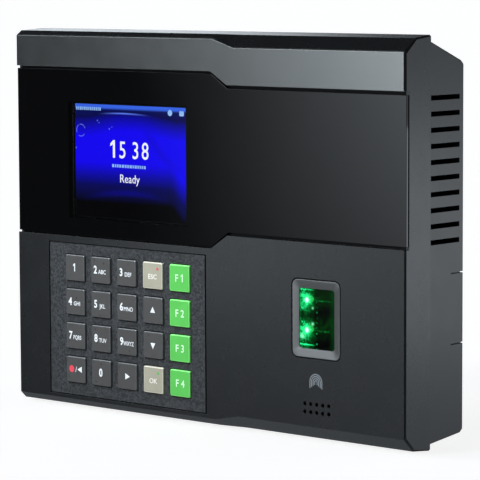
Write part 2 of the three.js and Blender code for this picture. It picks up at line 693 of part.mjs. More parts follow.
function rearHousing() {
  const floor = HOUSING_FLOOR;
  const wells = union(CASE_SCREWS.map(([x, z]) => bar(x, z, WELL.radius, WELL.end, floor.outer)));
  const wellBores = union(CASE_SCREWS.map(([x, z]) => bar(x, z, WELL.bore, WELL.floor, DEPTH)));
  const screwHoles = union(CASE_SCREWS.map(([x, z]) => bar(x, z, WELL.hole, WELL.end - 1, WELL.floor + 1)));
  const standoffs = union(BOARD_SCREWS.map(
    ([x, z]) => bar(x, z, STANDOFF.radius, BOARD.back + GAP, floor.inner + 0.5),
  ));
  const pilots = union(BOARD_SCREWS.map(
    ([x, z]) => bar(x, z, STANDOFF.pilot, BOARD.back - 1, floor.inner - 1),
  ));
  const hookSlots = union(HOOKS.map(
    ([x, z]) => box(x - 5, x + 5, floor.inner - 1, floor.outer + 1, z - 6, z + GAP),
  ));
  const { left, right, bottom, top } = CABLE_OPENING;
  const cableOpening = box(left, right, floor.inner - 1, floor.outer + 1, bottom, top);
  const lockPocket = box(-12, 12, 24.5, floor.outer, -68, -49);
  const lockRecess = box(-10, 10, 26.5, DEPTH, -66, -51);
  return housingBody()
    .subtract(housingHollows())
    .add(locatingLip())
    .add(ventRibs())
    .subtract(sideVents())
    .subtract(sideSlits())
    .add(wells)
    .subtract(wellBores)
    .subtract(screwHoles)
    .add(standoffs)
    .subtract(pilots)
    .add(lockPocket)
    .subtract(lockRecess)
    .subtract(hookSlots)
    .subtract(cableOpening)
    .subtract(bar(TAMPER.x, TAMPER.z, 2.1, floor.inner - 1, floor.outer + 1))
    .subtract(post(0, LOCK_SCREW_DEPTH, 1.8, -72, -64))
    .subtract(post(0, LOCK_SCREW_DEPTH, 3.3, -72, -67.6));
}

// ---- Wall plate ---------------------------------------------------------------------------------------

// A keyhole: a round hole that a screw head passes, and a narrow slot above it.
function keyhole(x, z) {
  const head = bar(x, z, 4, PLATE_FRONT - 1, DEPTH + 1);
  return head.add(box(x - 2.2, x + 2.2, PLATE_FRONT - 1, DEPTH + 1, z, z + 9));
}

// A hook standing forward of the plate, with a lip that points up.
function plateHook(x, z) {
  const { width, thickness, lipFront, lipBack, lip } = HOOK;
  const web = box(x - width / 2, x + width / 2, lipFront, PLATE_FRONT + 0.5, z - thickness, z);
  return web.add(box(x - width / 2, x + width / 2, lipFront, lipBack, z - thickness, z + lip));
}

function wallPlate() {
  const { halfWidth, halfHeight, corner, thickness } = PLATE;
  const { left, right, bottom, top } = CABLE_OPENING;
  const sheet = slab(roundedRectangle(0, 0, 2 * halfWidth, 2 * halfHeight, corner), PLATE_FRONT, DEPTH, 3);
  const flange = box(-LOCK_FLANGE.width / 2, LOCK_FLANGE.width / 2, LOCK_FLANGE.front, PLATE_FRONT + 0.5,
    -halfHeight, -halfHeight + thickness);
  return sheet
    .add(flange)
    .add(union(HOOKS.map(([x, z]) => plateHook(x, z))))
    .subtract(box(left, right, PLATE_FRONT - 1, DEPTH + 1, bottom, top))
    .subtract(union([keyhole(-64, 38), keyhole(64, 38), keyhole(-64, -44), keyhole(64, -44)]))
    .subtract(post(0, LOCK_SCREW_DEPTH, 1.7, -halfHeight - 1, -halfHeight + 3));
}

// ---- Screws, each drawn about its own axis ------------------------------------------------------------

function caseScrew() {
  const head = WELL.floor + GAP;
  return union([bar(0, 0, 1.35, 9, head + 0.1), bar(0, 0, 2.8, head, head + 2)]);
}

function boardScrew() {
  const seat = BOARD.front - GAP;
  return union([bar(0, 0, 2.7, seat - 1.9, seat), bar(0, 0, 1.3, seat - 0.1, 28)]);
}

function lockScrew() {
  return union([post(0, 0, 2.8, -69.3, -67.9), post(0, 0, 1.4, -68, -51.4)]);
}

// ---- Finishes -----------------------------------------------------------------------------------------

function finish(color, roughness, metalness = 0) {
  return { color, roughness, metalness };
}

const CASE_BLACK = finish(0x26292b, 0.5);
const TRIM_GREY = finish(0x6e7171, 0.38, 0.3);
const LENS_BLACK = finish(0x060606, 0.08);
const PLATE_BLACK = finish(0x2b2e30, 0.6);
const KEY_DARK = finish(0x3a3c3d, 0.35);
const KEY_BEIGE = finish(0xb3ad97, 0.4);
const KEY_GREEN = finish(0x5fd75a, 0.4);
const SILICONE = finish(0x8f9294, 0.7);
const SATIN_GREY = finish(0x6a6c6c, 0.35, 0.4);
const DARK_GLASS = finish(0x0c2a16, 0.05);
const LAMP_GREEN = finish(0x7dffc8, 0.2);
const BOARD_GREEN = finish(0x1d5a35, 0.5);
const STEEL = finish(0xa8abad, 0.35, 1);
const SCREEN_BLUE = finish(0x1408d8, 0.2);
const PART_BLACK = finish(0x151515, 0.5);
const FILM = finish(0xc98a3a, 0.4);
const TERMINAL_GREEN = finish(0x2f8f4e, 0.5);
const RELAY_BLUE = finish(0x2a5fae, 0.45);

// ---- Assembly -----------------------------------------------------------------------------------------

const device = new THREE.Group();
device.position.y = -DEPTH;

function place(name, shape, look, x = 0, y = 0, z = 0) {
  const mesh = new THREE.Mesh(geometryOf(shape), new THREE.MeshStandardMaterial(look));
  mesh.name = name;
  mesh.position.set(x, y, z);
  device.add(mesh);
}

place('front_cover', frontCover(), CASE_BLACK);
place('top_trim_strip', topTrimStrip(), TRIM_GREY);
place('lens_panel', lensPanel(), LENS_BLACK);
place('display_module', displayModule(), SCREEN_BLUE);
place('display_ribbon', displayRibbon(), FILM);

place('keypad_plate', keypadPlate(), PLATE_BLACK);
place('keypad_mat', keypadMat(), SILICONE);
place('keypad_board', keypadSheet(KEYPAD_BOARD), BOARD_GREEN);
place('keypad_ribbon', keypadRibbon(), FILM);

const KEY_NAMES = [
  'key_1', 'key_2', 'key_3', 'key_escape', 'key_f1',
  'key_4', 'key_5', 'key_6', 'key_up', 'key_f2',
  'key_7', 'key_8', 'key_9', 'key_down', 'key_f3',
  'key_left_power', 'key_0', 'key_right', 'key_ok', 'key_f4',
];
const BEIGE_KEYS = ['key_escape', 'key_ok'];
const keyShape = keyCap();
KEY_NAMES.forEach((name, i) => {
  const [x, z] = KEY_PLACES[i];
  let look = KEY_DARK;
  if (BEIGE_KEYS.includes(name)) look = KEY_BEIGE;
  if (name.startsWith('key_f')) look = KEY_GREEN;
  place(name, keyShape, look, x, 0, z);
});

place('sensor_bezel', sensorBezel(), SATIN_GREY);
place('sensor_window', sensorWindow(), DARK_GLASS);
place('sensor_housing', sensorHousing(), PART_BLACK);
place('sensor_lamp_upper', sensorLamp(), LAMP_GREEN, LAMPS.x, 0, LAMPS.heights[0]);
place('sensor_lamp_lower', sensorLamp(), LAMP_GREEN, LAMPS.x, 0, LAMPS.heights[1]);
place('sensor_board', sensorBoard(), BOARD_GREEN);
const SENSOR_CABLE = [[45.6, 27.9, -16.5], [42, 27.6, -16], [38.5, 25, -15.5], [34.6, 22.7, -15]];
place('sensor_cable', cable(SENSOR_CABLE, 0.9), PART_BLACK);

place('speaker', speaker(), PART_BLACK);
const SPEAKER_CABLE = [[56, 9.5, -60], [50, 12, -56], [42, 16, -46], [34.8, 18.9, -41]];
place('speaker_cable', cable(SPEAKER_CABLE, 0.8), PART_BLACK);

place('main_board', mainBoard(), BOARD_GREEN);
place('processor_can', processorCan(), STEEL);
place('relay', relay(), RELAY_BLUE);
place('clock_battery', clockBattery(), STEEL);
place('network_jack', networkJack(), STEEL);
place('usb_socket', usbSocket(), STEEL);
place('power_terminal', terminalBlock(6, -45, 3), TERMINAL_GREEN);
place('lock_terminal', terminalBlock(1, -21, 5), TERMINAL_GREEN);
place('reader_terminal', terminalBlock(-36, -21, 8), TERMINAL_GREEN);
place('tamper_switch', tamperSwitch(), PART_BLACK);
place('tamper_plunger', tamperPlunger(), PART_BLACK, TAMPER.x, 0, TAMPER.z);

place('rear_housing', rearHousing(), CASE_BLACK);
place('wall_plate', wallPlate(), STEEL);
place('lock_screw', lockScrew(), STEEL, 0, LOCK_SCREW_DEPTH, 0);
CASE_SCREWS.forEach(([x, z], i) => place(`case_screw_${i + 1}`, caseScrew(), STEEL, x, 0, z));
BOARD_SCREWS.forEach(([x, z], i) => place(`board_screw_${i + 1}`, boardScrew(), STEEL, x, 0, z));

const terminal = new THREE.Group();
terminal.add(device);

export default terminal;
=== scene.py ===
"""Looks for a wall-mounted fingerprint terminal.

Materials, key legends, the lit display and sensor, and the studio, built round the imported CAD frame.
"""

import json
import math
import random

import bmesh
import bpy
from mathutils import Matrix, Vector

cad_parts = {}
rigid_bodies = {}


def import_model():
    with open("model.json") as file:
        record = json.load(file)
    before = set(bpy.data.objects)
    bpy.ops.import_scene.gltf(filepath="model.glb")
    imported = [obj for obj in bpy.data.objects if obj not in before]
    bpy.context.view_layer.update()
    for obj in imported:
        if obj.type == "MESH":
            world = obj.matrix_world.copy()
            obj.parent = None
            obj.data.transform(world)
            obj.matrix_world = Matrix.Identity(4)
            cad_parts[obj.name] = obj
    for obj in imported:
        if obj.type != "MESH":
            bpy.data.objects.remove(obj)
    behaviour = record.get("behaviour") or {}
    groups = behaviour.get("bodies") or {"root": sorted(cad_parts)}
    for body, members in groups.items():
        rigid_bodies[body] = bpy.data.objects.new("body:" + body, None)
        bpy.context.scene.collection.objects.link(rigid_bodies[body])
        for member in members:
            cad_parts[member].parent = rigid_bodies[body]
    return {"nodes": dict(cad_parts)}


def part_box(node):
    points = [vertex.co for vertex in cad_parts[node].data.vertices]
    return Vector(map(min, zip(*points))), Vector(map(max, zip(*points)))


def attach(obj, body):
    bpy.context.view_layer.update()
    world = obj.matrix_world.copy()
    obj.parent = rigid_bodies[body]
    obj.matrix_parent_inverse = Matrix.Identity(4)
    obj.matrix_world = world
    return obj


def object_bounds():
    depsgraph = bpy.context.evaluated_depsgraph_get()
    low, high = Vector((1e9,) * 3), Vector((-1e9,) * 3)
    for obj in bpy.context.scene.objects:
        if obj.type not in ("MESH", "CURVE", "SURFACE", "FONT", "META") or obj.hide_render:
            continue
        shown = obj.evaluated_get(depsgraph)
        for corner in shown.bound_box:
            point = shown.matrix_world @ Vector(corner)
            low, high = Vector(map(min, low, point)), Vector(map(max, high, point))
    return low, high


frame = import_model()
CAD_LOW, CAD_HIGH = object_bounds()

MM = 0.001
BODY = "terminal"  # the body that everything but the keys and the tamper pin rides on
SEED = 7

# ---- Driving dimensions, in millimetres, beside what the frame gives -----------------------------

SCREEN_WIDTH = 57.6  # the display's lit area
SCREEN_HEIGHT = 43.2
SCREEN_THICKNESS = 0.07
GLASS_GAP = 0.01  # between the display's glass and the lit area
PICTURE_LIFT = 0.05  # the picture's marks stand this far in front of the lit area
WINDOW_MARGIN = (4.4, 2.0)  # how much wider and taller the lens's clear window is than the lit area
INK = 0.03  # thickness of printed legends
INK_GAP = 0.004  # between a surface and the ink printed on it

KEY_ROWS = (
    ("key_1", "key_2", "key_3", "key_escape", "key_f1"),
    ("key_4", "key_5", "key_6", "key_up", "key_f2"),
    ("key_7", "key_8", "key_9", "key_down", "key_f3"),
    ("key_left_power", "key_0", "key_right", "key_ok", "key_f4"),
)
KEYS = [name for row in KEY_ROWS for name in row]
BEIGE_KEYS = ("key_escape", "key_ok")
GREEN_KEYS = ("key_f1", "key_f2", "key_f3", "key_f4")
LAMPS = ("sensor_lamp_upper", "sensor_lamp_lower")


def centre(node):
    low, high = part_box(node)
    return (low + high) / 2


# ---- Node graphs ---------------------------------------------------------------------------------


class Graph:
    """Fills one node tree, a node at a time. Any input takes a number, a colour or another node's output."""

    def __init__(self, tree):
        self.tree = tree
        tree.nodes.clear()

    def feed(self, socket, value):
        if isinstance(value, bpy.types.NodeSocket):
            self.tree.links.new(value, socket)
        else:
            socket.default_value = value

    def add(self, kind, inputs=None, **settings):
        node = self.tree.nodes.new("ShaderNode" + kind)
        for name, value in settings.items():
            setattr(node, name, value)
        for name, value in (inputs or {}).items():
            self.feed(node.inputs[name], value)
        return node

    def math(self, operation, *values, clamp=False):
        node = self.add("Math", operation=operation, use_clamp=clamp)
        for socket, value in zip(node.inputs, values):
            self.feed(socket, value)
        return node.outputs[0]

    def vector(self, operation, *values):
        node = self.add("VectorMath", operation=operation)
        for socket, value in zip(node.inputs, values):
            self.feed(socket, value)
        return node.outputs["Value" if operation in ("LENGTH", "DISTANCE") else "Vector"]

    def place(self):
        """The point being shaded, in the part's own frame, in metres."""
        return self.add("TexCoord").outputs["Object"]

    def parts(self, vector):
        return self.add("SeparateXYZ", {"Vector": vector}).outputs

    def ramp(self, value, low, high, to_low=0.0, to_high=1.0, smooth=True):
        """Carries low..high to to_low..to_high and stays flat beyond both ends."""
        node = self.add("MapRange", interpolation_type="SMOOTHSTEP" if smooth else "LINEAR")
        for socket, number in zip(node.inputs, (value, low, high, to_low, to_high)):
            self.feed(socket, number)
        return node.outputs[0]

    def mix(self, share, a, b):
        node = self.add("Mix", data_type="RGBA", clamp_factor=True)
        for index, value in ((0, share), (6, a), (7, b)):
            self.feed(node.inputs[index], value)
        return node.outputs[2]

    def product(self, *values):
        total = values[0]
        for value in values[1:]:
            total = self.math("MULTIPLY", total, value)
        return total

    def bell(self, value, middle, half_width):
        """1 where the value is at the middle, falling smoothly to 0 half_width to either side."""
        off = self.math("ABSOLUTE", self.math("SUBTRACT", value, middle))
        return self.ramp(off, 0, half_width, 1, 0)

    def colours(self, value, stops):
        """Carries a value from 0 to 1 through (place, colour) stops."""
        node = self.add("ValToRGB", {"Fac": value})
        ramp = node.color_ramp
        while len(ramp.elements) < len(stops):
            ramp.elements.new(1.0)
        for element, (place, colour) in zip(ramp.elements, stops):
            element.position = place
            element.color = colour
        return node.outputs["Color"]

    def noise(self, size_mm, detail=2.0, rough=0.5, stretch=None):
        """Smooth noise from 0 to 1 whose largest blobs are about size_mm across."""
        place = self.place()
        if stretch:
            place = self.vector("MULTIPLY", place, stretch)
        inputs = {"Vector": place, "Scale": 1 / (size_mm * MM), "Detail": detail, "Roughness": rough}
        return self.add("TexNoise", inputs).outputs[0]

    def cells(self, size_mm, feature="F1"):
        inputs = {"Vector": self.place(), "Scale": 1 / (size_mm * MM)}
        return self.add("TexVoronoi", inputs, feature=feature).outputs["Distance"]

    def bump(self, height, depth_mm, strength=1.0, normal=None):
        inputs = {"Height": height, "Distance": depth_mm * MM, "Strength": strength}
        if normal:
            inputs["Normal"] = normal
        return self.add("Bump", inputs).outputs[0]


def rgb(red, green, blue):
    """A colour as it looks on a screen, 0 to 255, as the linear numbers that shaders take."""

    def linear(value):
        value /= 255
        return value / 12.92 if value <= 0.04045 else ((value + 0.055) / 1.055) ** 2.4

    return (linear(red), linear(green), linear(blue), 1.0)


def scaled(colour, factor):
    return (colour[0] * factor, colour[1] * factor, colour[2] * factor, 1.0)


def material(name):
    made = bpy.data.materials.new(name)
    made.use_nodes = True
    graph = Graph(made.node_tree)
    return made, graph


def show(graph, shader):
    graph.add("OutputMaterial", {"Surface": shader})


# ---- Plastics ------------------------------------------------------------------------------------


def recess_shade_share(graph):
    """Where shade is painted: 1 on the floors and walls of the recesses in the cover's front face, and 0 on
    the face itself.
    """
    low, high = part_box("front_cover")
    middle = (low + high) / 2 / MM
    # The recesses stop 1.2 mm short of the cover's ends, and 7 mm short of its top and bottom.
    width = (high.x - low.x) / MM - 2 * 1.2
    height = (high.z - low.z) / MM - 2 * 7
    depth = graph.math("SUBTRACT", graph.parts(graph.place())[1], low.y)
    inside = inside_rectangle(graph, middle.x * MM, middle.z * MM, width, height)
    return graph.math("MULTIPLY", inside, graph.ramp(depth, 0.4 * MM, 0.8 * MM))


def wall_shade_share(graph):
    """Where shade is painted: 1 on the walls of a plate that face sideways into its joints and openings, and
    0 on its face.
    """
    ahead = graph.parts(graph.add("NewGeometry").outputs["True Normal"])[1]
    return graph.ramp(graph.math("ABSOLUTE", ahead), 0.3, 0.1)


def moulded(name, colour, rough, grain_mm=0.35, grain_depth_mm=0.012, mottle=0.12, smudge=0.05,
            recesses=False):
    """Moulded plastic: a spark-eroded grain, faint flow mottling in the colour and uneven gloss, and with
    recesses, painted shade in the cover's recesses.
    """
    made, graph = material(name)
    flow = graph.noise(38, 3, 0.55)
    fine = graph.noise(grain_mm, 3, 0.6)
    tint = graph.mix(flow, scaled(colour, 1 - mottle), scaled(colour, 1 + mottle))
    tint = graph.mix(graph.ramp(fine, 0.35, 0.75, 0, 0.35), tint, scaled(colour, 1.5))
    gloss = graph.ramp(graph.noise(11, 4, 0.6), 0.25, 0.75, rough - smudge, rough + smudge)
    relief = graph.bump(fine, grain_depth_mm)
    inputs = {"Base Color": tint, "Roughness": gloss, "Normal": relief, "IOR": 1.5}
    if recesses:
        # Painted shade: the recesses' floors and walls are darkened to a quarter of the colour and lose most
        # of their shine.
        recess_shade = recess_shade_share(graph)
        inputs["Base Color"] = graph.mix(recess_shade, tint, scaled(colour, 0.25))
        inputs["Specular IOR Level"] = graph.ramp(recess_shade, 0, 1, 0.5, 0.06)
    show(graph, graph.add("BsdfPrincipled", inputs).outputs[0])
    return made


def worn_and_highlit_edge(name, colour, rough):
    """The rounded edge of a moulding: rubbed unevenly smoother, and a little paler than its faces, partly
    wear and partly a painted edge highlight.
    """
    made, graph = material(name)
    wear_and_highlight = graph.ramp(graph.noise(6, 4, 0.65), 0.38, 0.68)
    # The paler patches stand partly for wear and partly for a painted highlight along the edge.
    tint = graph.mix(wear_and_highlight, colour, scaled(colour, 2.2))
    gloss = graph.ramp(wear_and_highlight, 0, 1, rough, rough * 0.7)
    relief = graph.bump(graph.noise(0.6, 2), 0.006)
    inputs = {"Base Color": tint, "Roughness": gloss, "Normal": relief}
    show(graph, graph.add("BsdfPrincipled", inputs).outputs[0])
    return made


def leather_grain(name, colour, rough):
    """The keypad plate: a pebbled grain with pale tops and dark seams between the pebbles."""
    made, graph = material(name)
    pebbles = graph.cells(0.8, "SMOOTH_F1")
    seams = graph.cells(1.3, "DISTANCE_TO_EDGE")
    speck = graph.noise(0.8, 2, 0.7)
    tint = graph.mix(graph.ramp(speck, 0.4, 0.62), scaled(colour, 0.3), scaled(colour, 2.7))
    tint = graph.mix(graph.ramp(pebbles, 0.1, 0.7, 0.5, 0), tint, scaled(colour, 1.6))
    gloss = graph.ramp(speck, 0.3, 0.7, rough + 0.08, rough - 0.12)
    relief = graph.bump(pebbles, 0.09, 0.7)
    relief = graph.bump(graph.ramp(seams, 0, 0.12), 0.05, 0.6, relief)
    relief = graph.bump(speck, 0.1, 0.8, relief)
    # Painted shade: the walls facing into the joints and openings are darkened and lose most of their shine.
    wall_shade = wall_shade_share(graph)
    inputs = {
        "Base Color": graph.mix(wall_shade, tint, scaled(colour, 0.2)), "Roughness": gloss, "Normal": relief,
        "Specular IOR Level": graph.ramp(wall_shade, 0, 1, 0.5, 0.05),
    }
    show(graph, graph.add("BsdfPrincipled", inputs).outputs[0])
    return made


def satin_paint(name, colour, rough, metal):
    """Satin metallic lacquer: fine flakes, faint cloudiness and a soft clear coat."""
    made, graph = material(name)
    flakes = graph.cells(0.22)
    cloud = graph.noise(24, 4, 0.6)
    tint = graph.mix(cloud, scaled(colour, 0.95), scaled(colour, 1.05))
    tint = graph.mix(graph.ramp(flakes, 0.2, 0.8, 0.3, 0), tint, scaled(colour, 1.35))
    gloss = graph.ramp(graph.noise(7, 5, 0.65), 0.3, 0.7, rough - 0.012, rough + 0.012)
    relief = graph.bump(graph.noise(0.5, 2), 0.006)
    inputs = {"Base Color": tint, "Roughness": gloss, "Metallic": metal, "Normal": relief}
    show(graph, graph.add("BsdfPrincipled", inputs).outputs[0])
    return made


def key_plastic(name, colour, rough, clear=0.25):
    """A key cap: satin plastic under a thin lacquer, with faint clouding in its colour and uneven gloss."""
    made, graph = material(name)
    fine = graph.noise(0.5, 3, 0.6)
    cloud = graph.noise(5, 3, 0.6)
    tint = graph.mix(cloud, scaled(colour, 0.9), scaled(colour, 1.12))
    gloss = graph.ramp(graph.noise(2.5, 4, 0.6), 0.3, 0.7, rough - 0.05, rough + 0.07)
    relief = graph.bump(fine, 0.01)
    inputs = {
        "Base Color": tint, "Roughness": gloss, "Normal": relief,
        "Coat Weight": clear, "Coat Roughness": rough * 0.6,
    }
    show(graph, graph.add("BsdfPrincipled", inputs).outputs[0])
    return made


def ink(name, colour):
    """Screen-printed ink, a little thin in places."""
    made, graph = material(name)
    thin = graph.ramp(graph.noise(0.7, 3, 0.6), 0.3, 0.6, 0.82, 1.0)
    tint = graph.mix(thin, scaled(colour, 0.6), colour)
    relief = graph.bump(graph.noise(0.3, 2), 0.004)
    inputs = {"Base Color": tint, "Roughness": 0.45, "Normal": relief}
    show(graph, graph.add("BsdfPrincipled", inputs).outputs[0])
    return made


# ---- Glass, the display and the sensor -----------------------------------------------------------


def inside_rectangle(graph, x, z, width, height, soft_mm=0.15):
    """1 inside a rectangle on the front face and 0 outside it, with a soft edge."""
    across, _, up = graph.parts(graph.place())
    wide = graph.math("ABSOLUTE", graph.math("SUBTRACT", across, x))
    tall = graph.math("ABSOLUTE", graph.math("SUBTRACT", up, z))
    soft = soft_mm * MM
    near_side = graph.ramp(wide, width * MM / 2 - soft, width * MM / 2, 1, 0)
    near_top = graph.ramp(tall, height * MM / 2 - soft, height * MM / 2, 1, 0)
    return graph.math("MULTIPLY", near_side, near_top)


def lens_acrylic(name):
    """Gloss acrylic, printed black behind except for a clear window over the display."""
    made, graph = material(name)
    window = centre("display_module")
    wider, taller = WINDOW_MARGIN
    mask = inside_rectangle(graph, window.x, window.z, SCREEN_WIDTH + wider, SCREEN_HEIGHT + taller)
    haze = graph.ramp(graph.noise(30, 5, 0.6), 0.3, 0.75, 0.035, 0.075)
    wave = graph.bump(graph.noise(25, 1), 0.004)
    black = graph.add("BsdfPrincipled", {
        "Base Color": graph.mix(graph.noise(9, 3), rgb(8, 8, 9), rgb(12, 12, 13)),
        "Roughness": haze, "Normal": wave, "IOR": 1.49,
    })
    shine = graph.add("BsdfGlossy", {"Color": (1, 1, 1, 1), "Roughness": haze, "Normal": wave})
    mirror = graph.add("Fresnel", {"IOR": 1.49}).outputs[0]
    front_only = graph.math("SUBTRACT", 1.0, graph.add("NewGeometry").outputs["Backfacing"])
    see = graph.add("BsdfTransparent", {"Color": (0.97, 0.97, 0.97, 1)})
    clear = graph.add("MixShader", {0: graph.math("MULTIPLY", mirror, front_only), 1: see.outputs[0],
                                    2: shine.outputs[0]})
    whole = graph.add("MixShader", {0: mask, 1: black.outputs[0], 2: clear.outputs[0]})
    show(graph, whole.outputs[0])
    return made


def screen_picture(name):
    """The lit area: a blue sky, brightest across its middle and up under a dome, black at the bottom."""
    made, graph = material(name)
    middle = centre("display_module")
    across, _, up = graph.parts(graph.place())
    u = graph.math("DIVIDE", graph.math("SUBTRACT", across, middle.x), SCREEN_WIDTH * MM / 2)
    v = graph.math("DIVIDE", graph.math("SUBTRACT", up, middle.z), SCREEN_HEIGHT * MM / 2)

    def arc(u0, v0, radius, half_width):
        """A thin bright line along a circle round (u0, v0)."""
        du = graph.math("SUBTRACT", u, u0)
        dv = graph.math("SUBTRACT", v, v0)
        squares = graph.math("ADD", graph.product(du, du), graph.product(dv, dv))
        return graph.bell(graph.math("SQRT", squares), radius, half_width)

    # The dome lifts the bright field in the middle of the screen, and the right-hand edge hangs lower.
    lift = graph.ramp(graph.math("ABSOLUTE", u), 0.1, 0.9, 0.1, -0.03)
    upper = graph.math("SUBTRACT", v, graph.product(lift, graph.ramp(v, 0.2, 0.5), graph.ramp(v, 0.9, 0.84)))
    hang = graph.product(graph.ramp(u, 0.72, 0.98), graph.ramp(v, 0.2, 0.0), 0.26)
    level = graph.math("ADD", upper, hang)
    field = graph.colours(graph.ramp(level, -1, 1, 0, 1, smooth=False), (
        (0.135, rgb(4, 4, 6)), (0.2, rgb(9, 10, 60)), (0.29, rgb(10, 12, 92)), (0.38, rgb(15, 12, 170)),
        (0.49, rgb(22, 8, 248)), (0.72, rgb(22, 8, 250)), (0.83, rgb(15, 12, 168)), (0.9, rgb(9, 11, 78)),
        (0.955, rgb(11, 18, 90)), (0.975, rgb(58, 104, 236)),
    ))
    streak = graph.product(arc(1.9, 1.3, 1.75, 0.12), graph.ramp(v, -0.2, 0.1), graph.ramp(v, 0.75, 0.45))
    field = graph.mix(graph.product(streak, 0.35), field, rgb(16, 12, 190))
    horizon = graph.product(arc(-0.1, -4.0, 4.855, 0.022), graph.bell(u, -0.1, 0.5))
    field = graph.mix(horizon, field, rgb(96, 128, 255))
    hill = graph.product(arc(0.0, -3.4, 2.86, 0.09), graph.bell(u, -0.05, 0.9))
    field = graph.mix(graph.product(hill, 0.75), field, rgb(14, 12, 132))
    grid = graph.ramp(graph.noise(0.35, 1), 0.3, 0.7, 0.95, 1.05)
    show(graph, graph.add("Emission", {"Color": field, "Strength": grid}).outputs[0])
    return made


def screen_mark(name, colour, strength=1.0):
    """One lit colour of the picture, with the pixels' slight unevenness."""
    made, graph = material(name)
    grid = graph.ramp(graph.noise(0.3, 1), 0.3, 0.7, 0.9 * strength, 1.05 * strength)
    show(graph, graph.add("Emission", {"Color": colour, "Strength": grid}).outputs[0])
    return made


def lamp_light(name):
    """A green lamp under a clear dome, palest at its middle."""
    made, graph = material(name)
    facing = graph.add("LayerWeight", {"Blend": 0.4}).outputs["Facing"]
    colour = graph.mix(facing, (0.3, 1.0, 0.6, 1), (0.0, 0.7, 0.15, 1))
    strength = graph.ramp(graph.noise(1.2, 2), 0.2, 0.8, 0.6, 1.1)
    # Only the dome glows. The square-cut package behind it is black.
    dome = graph.ramp(graph.parts(graph.place())[1], 4.5 * MM, 4.7 * MM, 1, 0)
    light = graph.add("Emission", {"Color": colour, "Strength": graph.product(strength, dome)})
    package = graph.add("BsdfPrincipled", {
        "Base Color": graph.mix(graph.noise(1.5), rgb(10, 12, 11), rgb(20, 24, 21)), "Roughness": 0.5,
    })
    show(graph, graph.add("AddShader", {0: package.outputs[0], 1: light.outputs[0]}).outputs[0])
    return made


def painted_glow_black(name):
    """The sensor's inner housing: black plastic with the lamps' green light painted on it as a mottled glow
    round each lamp.
    """
    made, graph = material(name)
    x, _, z = graph.parts(graph.place())
    near = 0.0
    for lamp in LAMPS:
        spot = centre(lamp)
        patch = graph.product(graph.bell(x, spot.x, 4 * MM), graph.bell(z, spot.z, 6 * MM))
        near = graph.math("ADD", near, patch)
    glow_mottle = graph.ramp(graph.noise(1.4, 4, 0.7), 0.35, 0.65, 0.05, 1.0)
    base = graph.add("BsdfPrincipled", {
        "Base Color": graph.mix(graph.noise(3), rgb(14, 16, 15), rgb(24, 26, 25)),
        "Roughness": graph.ramp(graph.noise(2), 0.3, 0.7, 0.35, 0.5),
        "Emission Color": (0.0, 0.62, 0.1, 1),
        "Emission Strength": graph.product(near, glow_mottle, 0.16),
    })
    show(graph, base.outputs[0])
    return made


def lamp_star(graph, x, z, spot):
    """A lamp seen through the glass, painted as light on it: a burnt-out middle, a halo and uneven rays. x
    and z are in metres.
    """
    dx = graph.math("SUBTRACT", x, spot.x)
    dz = graph.math("SUBTRACT", z, spot.z)
    radius = graph.math("SQRT", graph.math("ADD", graph.product(dx, dx), graph.product(dz, dz)))
    core = graph.ramp(radius, 0.3 * MM, 1.3 * MM, 1, 0)
    halo = graph.math("POWER", graph.ramp(radius, 0, 5 * MM, 1, 0), 1.7)
    turns = graph.add("TexNoise", {"W": graph.math("ARCTAN2", dz, dx), "Scale": 7.0, "Detail": 1.0},
                      noise_dimensions="1D").outputs[0]
    rays = graph.product(graph.ramp(turns, 0.5, 0.72), graph.ramp(radius, 1 * MM, 6.5 * MM, 1, 0))
    return core, graph.math("ADD", halo, graph.product(rays, 0.5))


